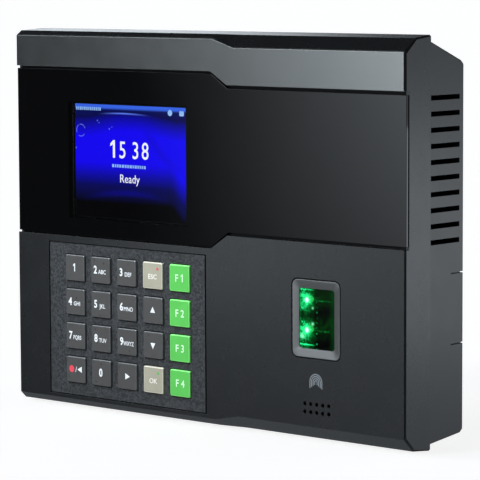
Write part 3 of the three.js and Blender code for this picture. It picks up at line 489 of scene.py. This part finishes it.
def painted_sensor_light(graph, x, z):
    """How the lit left-hand side of the sensor looks on the glass, painted on it as light: (white share,
    green strength).
    """
    low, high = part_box("sensor_window")
    lamps = [centre(lamp) for lamp in LAMPS]
    # A standing user's line of sight to the lamps crosses the glass to the right of them and a little above.
    shift = Vector((2.04, 0, 0.33)) * MM
    white = 0.0
    green = 0.0
    for lamp in lamps:
        core, glow = lamp_star(graph, x, z, lamp + shift)
        white = graph.math("ADD", white, core)
        green = graph.math("ADD", green, glow)
    column = lamps[0].x + 6.7 * MM
    # Everything left of the column is washed with painted light, in mottled patches.
    patches = graph.ramp(graph.noise(1.5, 5, 0.75), 0.4, 0.66, 0.05, 0.95)
    wash = graph.product(graph.ramp(x, column, lamps[0].x - 1 * MM), patches)
    between = graph.product(graph.bell(z, (lamps[0].z + lamps[1].z) / 2, 2.4 * MM), 0.75)
    green = graph.math("ADD", green, graph.product(wash, graph.math("SUBTRACT", 1.0, between)))
    # Painted glints: one beside each lamp, and one low on the left.
    upper, lower = lamps
    glints = ((upper, 4.8, -2.5, 0.9, 0.7), (lower, 4.8, 2.7, 1.2, 0.7), (lower, -0.1, -2.0, 1.5, 0.9))
    for lamp, dx, dz, size, power in glints:
        across = graph.bell(x, lamp.x + dx * MM, size * MM)
        glint = graph.product(across, graph.bell(z, lamp.z + dz * MM, size * MM))
        green = graph.math("ADD", green, graph.product(glint, power))
        white = graph.math("ADD", white, graph.product(glint, 0.4))
    # Painted light: a column of specks, a faint streak from it beside each lamp, and lines at the top and
    # bottom edges.
    beads = graph.ramp(graph.math("SINE", graph.math("MULTIPLY", z, 2 * math.pi / (1.9 * MM))), 0.2, 0.9)
    gaps = graph.ramp(graph.noise(1.1, 2), 0.42, 0.6)
    specks = graph.product(beads, gaps, graph.bell(x, column, 0.5 * MM))
    green = graph.math("ADD", green, graph.product(specks, 0.9))
    for lamp in lamps:
        band = graph.bell(z, lamp.z + 0.4 * MM, 0.5 * MM)
        streak = graph.product(band, graph.bell(x, column + 3 * MM, 5 * MM))
        speckle = graph.ramp(graph.noise(1.3, 3), 0.4, 0.6, 0.1, 0.6)
        green = graph.math("ADD", green, graph.product(streak, speckle))
    for edge, power in ((high.z - 1.6 * MM, 0.6), (low.z + 2.3 * MM, 1.0)):
        line = graph.product(graph.bell(z, edge, 0.45 * MM), graph.ramp(x, column, column - 3 * MM))
        green = graph.math("ADD", green, graph.product(line, power))
    # The far side has only a faint painted glow.
    far = graph.product(graph.bell(x, high.x - 2.2 * MM, 2.2 * MM), 0.06)
    return white, graph.math("ADD", green, far)


def sensor_glass(name):
    """Green-tinted, coated glass. The lamps behind it are painted on its surface as glowing stars, glints
    and specks.
    """
    made, graph = material(name)
    front_only = graph.math("SUBTRACT", 1.0, graph.add("NewGeometry").outputs["Backfacing"])
    x, _, z = graph.parts(graph.place())
    white, green = painted_sensor_light(graph, x, z)
    hue = graph.mix(graph.ramp(green, 0.15, 1.3), (0.0, 0.36, 0.05, 1), (0.02, 1.0, 0.3, 1))
    colour = graph.mix(graph.math("MULTIPLY", white, 1.0, clamp=True), hue, (0.55, 1.0, 0.82, 1))
    strength = graph.product(graph.math("ADD", green, graph.product(white, 0.5)), front_only)
    light = graph.add("Emission", {"Color": colour, "Strength": strength})
    haze = graph.ramp(graph.noise(4, 4, 0.6), 0.3, 0.7, 0.03, 0.09)
    see = graph.add("BsdfTransparent", {"Color": (0.34, 0.62, 0.36, 1)})
    shine = graph.add("BsdfGlossy", {"Color": (1, 1, 1, 1), "Roughness": haze})
    mirror = graph.product(graph.add("Fresnel", {"IOR": 1.2}).outputs[0], front_only)
    glass = graph.add("MixShader", {0: mirror, 1: see.outputs[0], 2: shine.outputs[0]})
    show(graph, graph.add("AddShader", {0: glass.outputs[0], 1: light.outputs[0]}).outputs[0])
    return made


# ---- Metals, boards and cables -------------------------------------------------------------------


def galvanised(name, colour, rough):
    """Zinc-coated steel: a crystal spangle of slightly different greys and glosses."""
    made, graph = material(name)
    crystal = graph.add("TexVoronoi", {"Vector": graph.place(), "Scale": 1 / (5 * MM)}).outputs["Color"]
    shade = graph.parts(crystal)[0]
    tint = graph.mix(shade, scaled(colour, 0.8), scaled(colour, 1.12))
    gloss = graph.ramp(shade, 0, 1, rough - 0.07, rough + 0.1)
    relief = graph.bump(graph.noise(0.8, 4, 0.6), 0.01)
    inputs = {"Base Color": tint, "Roughness": gloss, "Metallic": 1.0, "Normal": relief}
    show(graph, graph.add("BsdfPrincipled", inputs).outputs[0])
    return made


def plated(name, colour, rough):
    """Plated or drawn metal: fine lines along the part and faint handling marks."""
    made, graph = material(name)
    lines = graph.noise(1.5, 4, 0.7, stretch=(1.0, 1.0, 14.0))
    marks = graph.ramp(graph.noise(4, 5, 0.7), 0.45, 0.75, 0, 0.15)
    tint = graph.mix(graph.noise(3, 3), scaled(colour, 0.88), scaled(colour, 1.08))
    gloss = graph.math("ADD", marks, graph.ramp(lines, 0.3, 0.7, rough - 0.05, rough + 0.05))
    relief = graph.bump(lines, 0.004)
    inputs = {"Base Color": tint, "Roughness": gloss, "Metallic": 1.0, "Normal": relief}
    show(graph, graph.add("BsdfPrincipled", inputs).outputs[0])
    return made


def circuit_board(name):
    """Solder mask over copper: tracks a shade paler than the ground, in a square weave, and tinned vias."""
    made, graph = material(name)
    inputs = {"Vector": graph.place(), "Scale": 1 / (1.6 * MM), "Randomness": 0.35}
    tracks = graph.add("TexVoronoi", inputs, distance="MANHATTAN", feature="F2").outputs["Distance"]
    track = graph.ramp(tracks, 0.62, 0.7)
    vias = graph.ramp(graph.cells(3.1), 0.1, 0.14, 1, 0)
    ground = graph.mix(graph.noise(14, 3), rgb(14, 62, 36), rgb(20, 76, 44))
    tint = graph.mix(graph.math("MULTIPLY", track, 0.7), ground, rgb(38, 104, 60))
    tint = graph.mix(vias, tint, rgb(178, 182, 170))
    relief = graph.bump(track, 0.02, 0.6)
    inputs = {
        "Base Color": tint, "Roughness": graph.ramp(graph.noise(2, 3), 0.3, 0.7, 0.3, 0.42),
        "Metallic": graph.math("MULTIPLY", vias, 0.9), "Normal": relief,
    }
    show(graph, graph.add("BsdfPrincipled", inputs).outputs[0])
    return made


def ribbon_film(name):
    """Polyimide film with copper tracks running up it."""
    made, graph = material(name)
    across = graph.parts(graph.place())[0]
    stripes = graph.math("SINE", graph.math("MULTIPLY", across, 2 * math.pi / (1.0 * MM)))
    tint = graph.mix(graph.ramp(stripes, -0.2, 0.2), rgb(150, 84, 24), rgb(196, 126, 48))
    tint = graph.mix(graph.ramp(graph.noise(6, 3), 0.3, 0.7, 0, 0.3), tint, rgb(120, 66, 20))
    relief = graph.bump(stripes, 0.01)
    inputs = {"Base Color": tint, "Roughness": 0.32, "Normal": relief}
    show(graph, graph.add("BsdfPrincipled", inputs).outputs[0])
    return made


# ---- Mesh helpers --------------------------------------------------------------------------------


def new_piece(name, mesh, finish, body):
    piece = bpy.data.objects.new(name, mesh)
    bpy.context.scene.collection.objects.link(piece)
    mesh.materials.append(finish)
    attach(piece, body)
    return piece


def slab(mesh, outline, front, back, index=0):
    """Adds a closed plate to a bmesh: an outline in X and Z, in millimetres, between two depths (part Y)."""
    near = [mesh.verts.new((x * MM, front, z * MM)) for x, z in outline]
    far = [mesh.verts.new((x * MM, back, z * MM)) for x, z in outline]
    count = len(outline)
    faces = [mesh.faces.new(near), mesh.faces.new(list(reversed(far)))]
    for i in range(count):
        j = (i + 1) % count
        faces.append(mesh.faces.new((near[j], near[i], far[i], far[j])))
    for face in faces:
        face.material_index = index
    return faces


def rounded_rectangle(x, z, width, height, radius, steps=4):
    """Anticlockwise as seen from the front."""
    outline = []
    for corner, (side_x, side_z) in enumerate(((1, -1), (1, 1), (-1, 1), (-1, -1))):
        for step in range(steps + 1):
            angle = (corner - 1 + step / steps) * math.pi / 2
            outline.append((x + side_x * (width / 2 - radius) + radius * math.cos(angle),
                            z + side_z * (height / 2 - radius) + radius * math.sin(angle)))
    return outline


def disc(x, z, radius, steps=24):
    turn = 2 * math.pi / steps
    return [(x + radius * math.cos(i * turn), z + radius * math.sin(i * turn)) for i in range(steps)]


def arc_band(x, z, radius, width, start, end, steps=20, lift=0.0):
    """A round band from one angle to another, in degrees, with its legs run straight down by lift."""
    far = radius + width / 2
    near = radius - width / 2
    outer = []
    inner = []
    for i in range(steps + 1):
        angle = math.radians(start + (end - start) * i / steps)
        outer.append((x + far * math.cos(angle), z + far * math.sin(angle)))
        inner.append((x + near * math.cos(angle), z + near * math.sin(angle)))
    if lift:
        outer = [(outer[0][0], outer[0][1] - lift)] + outer + [(outer[-1][0], outer[-1][1] - lift)]
        inner = [(inner[0][0], inner[0][1] - lift)] + inner + [(inner[-1][0], inner[-1][1] - lift)]
    return outer + list(reversed(inner))


def digit_one(x, z, height):
    """A plain 1 with a flag, as an outline centred on (x, z)."""
    stem = 0.16 * height
    right = x + 0.12 * height
    left = right - stem
    top = z + height / 2
    flag = left - 0.2 * height
    return [
        (left, z - height / 2), (right, z - height / 2), (right, top), (left + 0.03 * height, top),
        (flag, top - 0.2 * height), (flag, top - 0.36 * height), (left, top - 0.24 * height),
    ]


def finished_mesh(name, bm):
    bmesh.ops.recalc_face_normals(bm, faces=bm.faces)
    mesh = bpy.data.meshes.new(name)
    bm.to_mesh(mesh)
    bm.free()
    return mesh


def add_text(bm, words, x, z, height, front, back, narrow=1.0, bold=0.0, index=0):
    """Adds raised lettering centred on (x, z) that faces the front, its capitals height millimetres high."""
    curve = bpy.data.curves.new("lettering", "FONT")
    curve.body = words
    curve.align_x = "CENTER"
    curve.size = 1.0
    curve.offset = bold
    curve.extrude = 0.05
    curve.resolution_u = 3
    holder = bpy.data.objects.new("lettering", curve)
    bpy.context.scene.collection.objects.link(holder)
    depsgraph = bpy.context.evaluated_depsgraph_get()
    mesh = bpy.data.meshes.new_from_object(holder.evaluated_get(depsgraph))
    capital = 0.73  # height of a capital letter in a font of size 1
    scale = height * MM / capital
    letters = bmesh.new()
    letters.from_mesh(mesh)
    bmesh.ops.remove_doubles(letters, verts=letters.verts, dist=1e-5)
    middle = (front + back) / 2
    for vert in letters.verts:
        side = vert.co.z / curve.extrude
        vert.co = Vector((
            x * MM + vert.co.x * scale * narrow,
            middle + side * (front - back) / 2,
            z * MM + (vert.co.y - capital / 2) * scale,
        ))
    for face in letters.faces:
        face.material_index = index
    letters.to_mesh(mesh)
    letters.free()
    bm.from_mesh(mesh)
    bpy.data.objects.remove(holder)
    bpy.data.curves.remove(curve)
    bpy.data.meshes.remove(mesh)


# ---- Carried-over nodes --------------------------------------------------------------------------


def smooth_group():
    """A modifier's node group that shades a mesh smooth, so that rounded edges catch light evenly."""
    group = bpy.data.node_groups.new("shade_smooth", "GeometryNodeTree")
    group.interface.new_socket("Geometry", in_out="INPUT", socket_type="NodeSocketGeometry")
    group.interface.new_socket("Geometry", in_out="OUTPUT", socket_type="NodeSocketGeometry")
    entry = group.nodes.new("NodeGroupInput")
    smooth = group.nodes.new("GeometryNodeSetShadeSmooth")
    leave = group.nodes.new("NodeGroupOutput")
    group.links.new(entry.outputs[0], smooth.inputs["Geometry"])
    group.links.new(smooth.outputs[0], leave.inputs[0])
    return group


SMOOTH = smooth_group()


def round_edges(piece, width_mm, segments=2, angle=30):
    """Joins the facets of flat faces, then rounds every sharp edge."""
    weld = piece.modifiers.new("join_points", "WELD")
    weld.merge_threshold = 0.001 * MM
    flat = piece.modifiers.new("join_facets", "DECIMATE")
    flat.decimate_type = "DISSOLVE"
    flat.angle_limit = math.radians(1)
    bevel = piece.modifiers.new("round_edges", "BEVEL")
    bevel.width = width_mm * MM
    bevel.segments = segments
    bevel.limit_method = "ANGLE"
    bevel.angle_limit = math.radians(angle)
    if len(piece.material_slots) > 1:
        bevel.material = 1
    shade = piece.modifiers.new("shade_smooth", "NODES")
    shade.node_group = SMOOTH
    even = piece.modifiers.new("even_normals", "WEIGHTED_NORMAL")
    even.weight = 90
    even.keep_sharp = False


def dress(node, finish, edge=None, width_mm=0.2, segments=2, angle=30):
    """Gives a CAD node its material, an edge material if it has one, and rounded edges."""
    piece = frame["nodes"][node]
    if not piece.material_slots:
        piece.data.materials.append(finish)
    piece.material_slots[0].material = finish
    if edge:
        piece.data.materials.append(edge)
    if width_mm:
        round_edges(piece, width_mm, segments, angle)


def dress_casings():
    case = moulded("case_plastic", (0.0095, 0.0108, 0.0122, 1), 0.27, mottle=0.06, smudge=0.015,
                   recesses=True)
    # The cover's and housing's edge material is paler than their plastic: a painted highlight along the
    # rounded edges, with wear.
    case_edge = worn_and_highlit_edge("case_edge", (0.02, 0.0215, 0.023, 1), 0.25)
    rear = moulded("rear_plastic", (0.0105, 0.0115, 0.0128, 1), 0.3, 0.45, 0.012, mottle=0.06, smudge=0.015)
    dress("front_cover", case, case_edge, 0.4, 3)
    dress("rear_housing", rear, case_edge, 0.25)
    # The trim's edge paint is a paler copy of its face paint: a painted highlight along its rounded edges.
    dress("top_trim_strip", satin_paint("trim_paint", rgb(120, 122, 121), 0.18, 0.9),
          satin_paint("trim_edge", rgb(160, 162, 161), 0.2, 0.9), 0.15)
    dress("lens_panel", lens_acrylic("lens_acrylic"), None, 0.15)


def dress_keypad():
    # The plate's edge material is paler than its face: a painted highlight along the rounded edges, with
    # wear.
    dress("keypad_plate", leather_grain("keypad_plate_grain", (0.016, 0.0175, 0.019, 1), 0.5),
          worn_and_highlit_edge("keypad_plate_edge", (0.02, 0.021, 0.022, 1), 0.35), 0.15)
    looks = {
        "dark": key_plastic("key_smoked", (0.057, 0.055, 0.053, 1), 0.32, 0.5),
        "beige": key_plastic("key_beige", rgb(162, 157, 138), 0.42),
        "green": key_plastic("key_green", rgb(83, 187, 76), 0.4),
    }
    # The edges are paler copies of the caps' plastics: a painted highlight along the rounded edges.
    edges = {
        "dark": key_plastic("key_smoked_edge", (0.09, 0.092, 0.095, 1), 0.22, 0.8),
        "beige": key_plastic("key_beige_edge", rgb(205, 201, 184), 0.35),
        "green": key_plastic("key_green_edge", rgb(130, 232, 120), 0.35),
    }
    for key in KEYS:
        kind = "beige" if key in BEIGE_KEYS else "green" if key in GREEN_KEYS else "dark"
        dress(key, looks[kind], edges[kind], 0.28, 3)
    dress("keypad_mat", moulded("mat_silicone", rgb(140, 143, 145), 0.6, 0.6), None, 0.2)


def dress_sensor():
    # The bezel's edge paint is a paler copy of its face paint: a painted highlight along its rounded edges.
    dress("sensor_bezel", satin_paint("bezel_paint", rgb(120, 121, 121), 0.36, 0.6),
          satin_paint("bezel_edge", rgb(150, 152, 152), 0.25, 0.8), 0.12)
    dress("sensor_window", sensor_glass("sensor_glass"), None, 0.1)
    dress("sensor_housing", painted_glow_black("sensor_housing_black"), None, 0.15)
    glow = lamp_light("lamp_glow")
    for lamp in LAMPS:
        dress(lamp, glow, None, 0.12)


def dress_inside():
    board = circuit_board("board")
    film = ribbon_film("ribbon_film")
    black = moulded("part_black", (0.012, 0.012, 0.013, 1), 0.45, 0.5)
    jacket = moulded("cable_jacket", (0.01, 0.01, 0.011, 1), 0.38, 0.8)
    steel = plated("plated_steel", rgb(186, 188, 190), 0.3)
    screw = plated("screw_steel", rgb(150, 152, 156), 0.34)
    for node in ("keypad_board", "main_board", "sensor_board"):
        dress(node, board, None, 0.1)
    for node in ("display_ribbon", "keypad_ribbon"):
        dress(node, film, None, 0)
    for node in ("sensor_cable", "speaker_cable"):
        dress(node, jacket, None, 0)
    for node in ("speaker", "tamper_switch", "tamper_plunger"):
        dress(node, black, None, 0.15)
    for node in ("processor_can", "clock_battery", "network_jack", "usb_socket"):
        dress(node, steel, None, 0.15)
    dress("display_module", plated("module_frame", rgb(22, 23, 25), 0.5), None, 0.15)
    dress("relay", moulded("relay_plastic", rgb(36, 82, 160), 0.42, 0.6), None, 0.25)
    terminal = moulded("terminal_plastic", rgb(44, 132, 76), 0.45, 0.6)
    for node in ("power_terminal", "lock_terminal", "reader_terminal"):
        dress(node, terminal, None, 0.15)
    dress("wall_plate", galvanised("galvanised_steel", rgb(176, 180, 182), 0.36), None, 0.12)
    screws = ["lock_screw"]
    screws += [f"{kind}_screw_{i}" for kind in ("case", "board") for i in range(1, 5)]
    for node in screws:
        dress(node, screw, None, 0.15)


# ---- Display -------------------------------------------------------------------------------------


def build_screen():
    """The lit area as a thin plate on the display's glass, and the picture's marks in front of it."""
    middle = centre("display_module") / MM
    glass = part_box("display_module")[0].y
    back = glass - GLASS_GAP * MM
    front = back - SCREEN_THICKNESS * MM
    bm = bmesh.new()
    slab(bm, rounded_rectangle(middle.x, middle.z, SCREEN_WIDTH, SCREEN_HEIGHT, 0.3), front, back)
    new_piece("display_screen", finished_mesh("display_screen", bm), screen_picture("screen_picture"), BODY)
    build_picture(middle, front - PICTURE_LIFT * MM)


def build_picture(middle, back):
    """Clock digits, a greeting and plain marks where a status line and a date would be."""
    front = back - INK * MM
    left = middle.x - SCREEN_WIDTH / 2
    right = middle.x + SCREEN_WIDTH / 2
    top = middle.z + SCREEN_HEIGHT / 2
    clock_z = middle.z + 4.9
    clock_height = 6.7
    white = bmesh.new()
    slab(white, digit_one(middle.x - 8.5, clock_z, clock_height), front, back)
    for digit, offset in (("5", -3.7), ("3", 3.1), ("8", 8.1)):
        add_text(white, digit, middle.x + offset, clock_z, clock_height, front, back, 0.86, 0.005)
    add_text(white, "Ready", middle.x - 0.1, middle.z - 6.1, 3.3, front, back, 0.95, 0.0)
    mesh = finished_mesh("screen_digits", white)
    white_light = screen_mark("screen_white", rgb(244, 248, 255), 1.1)
    new_piece("screen_digits", mesh, white_light, BODY)

    # A row of plain blocks across the top left and one under the clock, then a dot and a block at the right.
    pale = bmesh.new()
    rng = random.Random(SEED)
    x = left + 0.6
    while x < left + 13.6:
        width = rng.uniform(0.5, 1.0)
        slab(pale, rounded_rectangle(x + width / 2, top - 1.75, width, 1.3, 0.2, 2), front, back)
        x += width + 0.4
    x = middle.x - 9.2
    while x < middle.x + 8.6:
        width = rng.uniform(0.6, 1.1)
        slab(pale, rounded_rectangle(x + width / 2, middle.z - 1.5, width, 1.2, 0.2, 2), front, back)
        x += width + 0.45
    slab(pale, disc(right - 7.8, top - 2.1, 1.15), front, back)
    slab(pale, rounded_rectangle(right - 1.9, top - 2.2, 2.3, 1.9, 0.4), front, back)
    mesh = finished_mesh("screen_marks", pale)
    new_piece("screen_marks", mesh, screen_mark("screen_pale", rgb(150, 196, 255)), BODY)

    # A broken ring and a few sparkles.
    faint = bmesh.new()
    ring_x = left + 3.0
    ring_z = middle.z + 11.4
    for start in (20, 120, 240):
        slab(faint, arc_band(ring_x, ring_z, 2.3, 0.22, start, start + 84, 12), front, back)
    for dx, dz, size in ((11.9, 15.4, 0.26), (12.8, 14.6, 0.2), (18.2, 12.4, 0.28), (19.6, 13.2, 0.18),
                         (0.4, 4.6, 0.3)):
        slab(faint, disc(left + dx, middle.z + dz, size, 8), front, back)
    new_piece("screen_sparkles", finished_mesh("screen_sparkles", faint),
              screen_mark("screen_faint", rgb(120, 140, 255), 0.9), BODY)


# ---- Key legends ---------------------------------------------------------------------------------

# A digit and the letters beside it.
LETTERS = {
    "key_2": "ABC", "key_3": "DEF", "key_4": "GHI", "key_5": "JKL",
    "key_6": "MNO", "key_7": "PQRS", "key_8": "TUV", "key_9": "WXYZ",
}
ARROW = 1.25  # half width of an arrow
FULL, DOT = 0, 1  # material slots of a legend


def arrow(x, z, heading):
    """A triangle that points up (90), down (-90), left (180) or right (0)."""
    points = []
    for corner in (0, 125, 235):
        angle = math.radians(heading + corner)
        points.append((x + ARROW * 1.2 * math.cos(angle), z + ARROW * 1.2 * math.sin(angle)))
    return points


def draw_legend(bm, key, x, z, front, back):
    if key in LETTERS:
        add_text(bm, key[-1], x - 2.6, z + 0.25, 3.0, front, back, 0.85, 0.03)
        letters = LETTERS[key]
        narrow = 0.92 if len(letters) == 3 else 0.8
        add_text(bm, letters, x + 1.0, z - 0.5, 1.65, front, back, narrow, 0.015)
    elif key == "key_1":
        slab(bm, digit_one(x - 0.2, z + 0.2, 3.1), front, back)
    elif key == "key_0":
        add_text(bm, "0", x - 0.2, z + 0.2, 3.1, front, back, 0.85, 0.03)
    elif key == "key_escape":
        add_text(bm, "ESC", x, z - 0.3, 1.9, front, back, 1.05, 0.02)
        slab(bm, disc(x + 2.6, z + 2.7, 0.55), front, back, DOT)
    elif key == "key_ok":
        add_text(bm, "OK", x, z - 0.3, 1.9, front, back, 1.05, 0.02)
        slab(bm, disc(x + 2.6, z + 2.7, 0.55), front, back, DOT)
    elif key in GREEN_KEYS:
        add_text(bm, "F", x - 1.3, z + 0.1, 2.9, front, back, 0.95, 0.01)
        if key == "key_f1":
            slab(bm, digit_one(x + 1.5, z + 0.1, 2.9), front, back)
        else:
            add_text(bm, key[-1], x + 1.5, z + 0.1, 2.9, front, back, 0.95, 0.01)
    elif key == "key_left_power":
        slab(bm, disc(x - 2.2, z + 0.2, 1.35), front, back, DOT)
        add_text(bm, "/", x + 0.15, z + 0.2, 2.2, front, back, 0.9, 0.01)
        slab(bm, arrow(x + 2.4, z + 0.2, 180), front, back)
    else:
        heading = {"key_up": 90, "key_down": -90, "key_right": 0}[key]
        slab(bm, arrow(x, z, heading), front, back)


def build_legends():
    white = ink("legend_white", rgb(232, 234, 236))
    pale_green = ink("legend_pale_green", rgb(214, 250, 210))
    pale_beige = ink("legend_pale_beige", rgb(232, 228, 216))
    red = ink("legend_red", rgb(226, 66, 84))
    green = ink("legend_green", rgb(86, 178, 84))
    for key in KEYS:
        low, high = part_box(key)
        x = (low.x + high.x) / 2 / MM
        z = (low.z + high.z) / 2 / MM
        back = low.y - INK_GAP * MM
        bm = bmesh.new()
        draw_legend(bm, key, x, z, back - INK * MM, back)
        name = key.replace("key_", "legend_")
        main = pale_beige if key in BEIGE_KEYS else pale_green if key in GREEN_KEYS else white
        mesh = finished_mesh(name, bm)
        piece = new_piece(name, mesh, main, f"{key}_cap")
        piece.data.materials.append(green if key == "key_ok" else red)


# ---- Mark under the sensor -----------------------------------------------------------------------


def build_mark():
    """A plain fingerprint sign printed on the cover: nested grey arches."""
    low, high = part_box("sensor_bezel")
    x = (low.x + high.x) / 2 / MM
    z = low.z / MM - 8.6
    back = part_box("front_cover")[0].y - INK_GAP * MM
    front = back - INK * MM
    ridges = bmesh.new()
    for ring in range(4):
        radius = 0.55 + ring * 0.75
        drop = 0.9 + 0.35 * ring
        slab(ridges, arc_band(x, z, radius, 0.36, -8, 188, 18, drop), front, back)
    grey = ink("mark_grey", rgb(176, 184, 192))
    new_piece("finger_mark", finished_mesh("finger_mark", ridges), grey, BODY)


# ---- Studio --------------------------------------------------------------------------------------

CAMERA_AZIMUTH = 41.54  # degrees round the object from straight ahead, towards +X
CAMERA_DROP = 5.815  # degrees below level that it looks
CAMERA_ROLL = -0.26  # degrees
CAMERA_DISTANCE = 1021.9  # millimetres from the point it aims at
CAMERA_AIM = (3.1, -15.2, -4.8)  # millimetres
CAMERA_LENS = 204.9  # focal length in millimetres, on a film 36 mm wide
CAMERA_FILM = 36
COOL_LIGHT = (0.92, 1.0, 1.07, 1)  # the colour of all the studio's light


def build_camera():
    azimuth = math.radians(CAMERA_AZIMUTH)
    drop = math.radians(CAMERA_DROP)
    level = math.cos(drop)
    ahead = Vector((-math.sin(azimuth) * level, math.cos(azimuth) * level, -math.sin(drop)))
    data = bpy.data.cameras.new("camera")
    data.lens = CAMERA_LENS
    data.sensor_width = CAMERA_FILM
    data.clip_start = 0.05
    data.clip_end = 50
    camera = bpy.data.objects.new("camera", data)
    bpy.context.scene.collection.objects.link(camera)
    turn = ahead.to_track_quat("-Z", "Y").to_matrix().to_4x4()
    roll = Matrix.Rotation(math.radians(CAMERA_ROLL), 4, "Z")
    eye = Vector(CAMERA_AIM) * MM - ahead * CAMERA_DISTANCE * MM
    camera.matrix_world = Matrix.Translation(eye) @ turn @ roll
    bpy.context.scene.camera = camera


def build_floor():
    """A pale floor. The camera sees it brighter than the object does: it looks white but lights little."""
    made, graph = material("floor_pale")
    cloud = graph.mix(graph.noise(90, 3), (0.5, 0.5, 0.5, 1), (0.52, 0.52, 0.52, 1))
    paint = graph.add("BsdfDiffuse", {"Color": cloud})
    seen = graph.add("LightPath").outputs["Is Camera Ray"]
    lift = graph.add("Emission", {"Color": (1, 1, 1, 1), "Strength": graph.ramp(seen, 0, 1, 0.5, 0.85)})
    show(graph, graph.add("AddShader", {0: paint.outputs[0], 1: lift.outputs[0]}).outputs[0])
    half = 12.0  # metres
    mesh = bpy.data.meshes.new("floor")
    corners = [(x * half, y * half, CAD_LOW.z) for x, y in ((-1, -1), (1, -1), (1, 1), (-1, 1))]
    mesh.from_pydata(corners, [], [(0, 1, 2, 3)])
    mesh.materials.append(made)
    floor = bpy.data.objects.new("floor", mesh)
    bpy.context.scene.collection.objects.link(floor)
    floor.visible_glossy = False


def soft_box(graph, azimuth, elevation, sides, power):
    """Light from a soft-edged patch of the sky. Each side is where its fade begins and ends, in degrees."""
    left, right, low, high = sides
    shares = [
        graph.ramp(azimuth, *left), graph.ramp(azimuth, *right, 1, 0),
        graph.ramp(elevation, *low), graph.ramp(elevation, *high, 1, 0),
    ]
    total = power
    for share in shares:
        total = graph.math("MULTIPLY", total, share)
    return total


def build_world():
    """White behind the object for the camera. Everything else sees a dark studio with soft boxes."""
    world = bpy.data.worlds.new("studio")
    bpy.context.scene.world = world
    world.use_nodes = True
    graph = Graph(world.node_tree)
    x, y, z = graph.parts(graph.add("TexCoord").outputs["Generated"])
    # Azimuth is 0 straight in front of the terminal and grows towards +X.
    azimuth = graph.math("DEGREES", graph.math("ARCTAN2", x, graph.math("MULTIPLY", y, -1.0)))
    elevation = graph.math("DEGREES", graph.math("ARCSINE", z))
    boxes = (
        # mirrored by the flat front faces, which it grades from dark on the left to light on the right
        (((-44, -31), (-27, -11), (-11, 0), (30, 55)), 4.4),
        # mirrored by the rounded edges that face up
        (((-78, -68), (-58, -48), (26, 34), (46, 56)), 4.5),
        # mirrored by the right-hand side
        (((-140.5, -137), (-128, -112), (-45, -15), (18, 40)), 1.7),
        # mirrored by the chamfer along the bottom
        (((-125, -110), (-90, -75), (-58, -50), (-42, -34)), 0.25),
        # behind the object, and faintly at both ends, for views from other sides
        (((100, 125), (300, 400), (-45, -15), (18, 40)), 0.6),
        (((55, 85), (105, 125), (-45, -15), (18, 40)), 0.35),
        (((-135, -125), (-95, -65), (-40, -15), (15, 30)), 0.3),
    )
    # A weak glow from below, and an even one from everywhere.
    total = graph.math("ADD", graph.ramp(elevation, -12, -40, 0, 0.12), 0.03)
    for sides, power in boxes:
        total = graph.math("ADD", total, soft_box(graph, azimuth, elevation, sides, power))
    studio = graph.add("Background", {"Color": COOL_LIGHT, "Strength": total})
    white = graph.add("Background", {"Color": (1, 1, 1, 1), "Strength": 1.0})
    seen = graph.add("LightPath").outputs["Is Camera Ray"]
    both = graph.add("MixShader", {0: seen, 1: studio.outputs[0], 2: white.outputs[0]})
    graph.add("OutputWorld", {"Surface": both.outputs[0]})


def soft_light(name, place, aim, size, energy, pieces=()):
    """A small soft rectangular light, in metres and watts. If pieces are given it lights only those."""
    data = bpy.data.lights.new(name, "AREA")
    data.shape = "RECTANGLE"
    data.size, data.size_y = size
    data.energy = energy
    data.color = COOL_LIGHT[:3]
    light = bpy.data.objects.new(name, data)
    bpy.context.scene.collection.objects.link(light)
    light.location = place
    light.rotation_euler = (Vector(aim) - Vector(place)).to_track_quat("-Z", "Y").to_euler()
    light.visible_camera = False
    if pieces:
        lit = bpy.data.collections.new(name + "_lit")
        for piece in pieces:
            lit.objects.link(piece)
        light.light_linking.receiver_collection = lit


def build_lights():
    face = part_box("front_cover")[0].y
    # Behind the right end, mirrored by the cheek at mid height.
    soft_light("side_light", (0.43, 0.37, -0.05), (CAD_HIGH.x, face, 0), (0.25, 0.12), 0.16)
    # Close in front, mirrored by the lower panel just under the lens.
    soft_light("panel_light", (-0.211, face - 0.26, -0.037), (0.02, face, 0), (0.1, 0.06), 0.02,
               [frame["nodes"]["front_cover"]])
    # High in front, on the keypad only: along the tops of the keys and across the grain of the plate.
    keypad = [frame["nodes"][node] for node in ("keypad_plate", *KEYS)]
    keypad += [bpy.data.objects[key.replace("key_", "legend_")] for key in KEYS]
    soft_light("key_light", (-0.11, face - 0.19, 0.31), (-0.038, face, -0.038), (0.2, 0.2), 2.6, keypad)


# ---- Assembly ------------------------------------------------------------------------------------

bpy.context.scene.view_settings.view_transform = "Standard"
dress_casings()
dress_keypad()
dress_sensor()
dress_inside()
build_screen()
build_legends()
build_mark()
build_floor()
build_world()
build_lights()
build_camera()
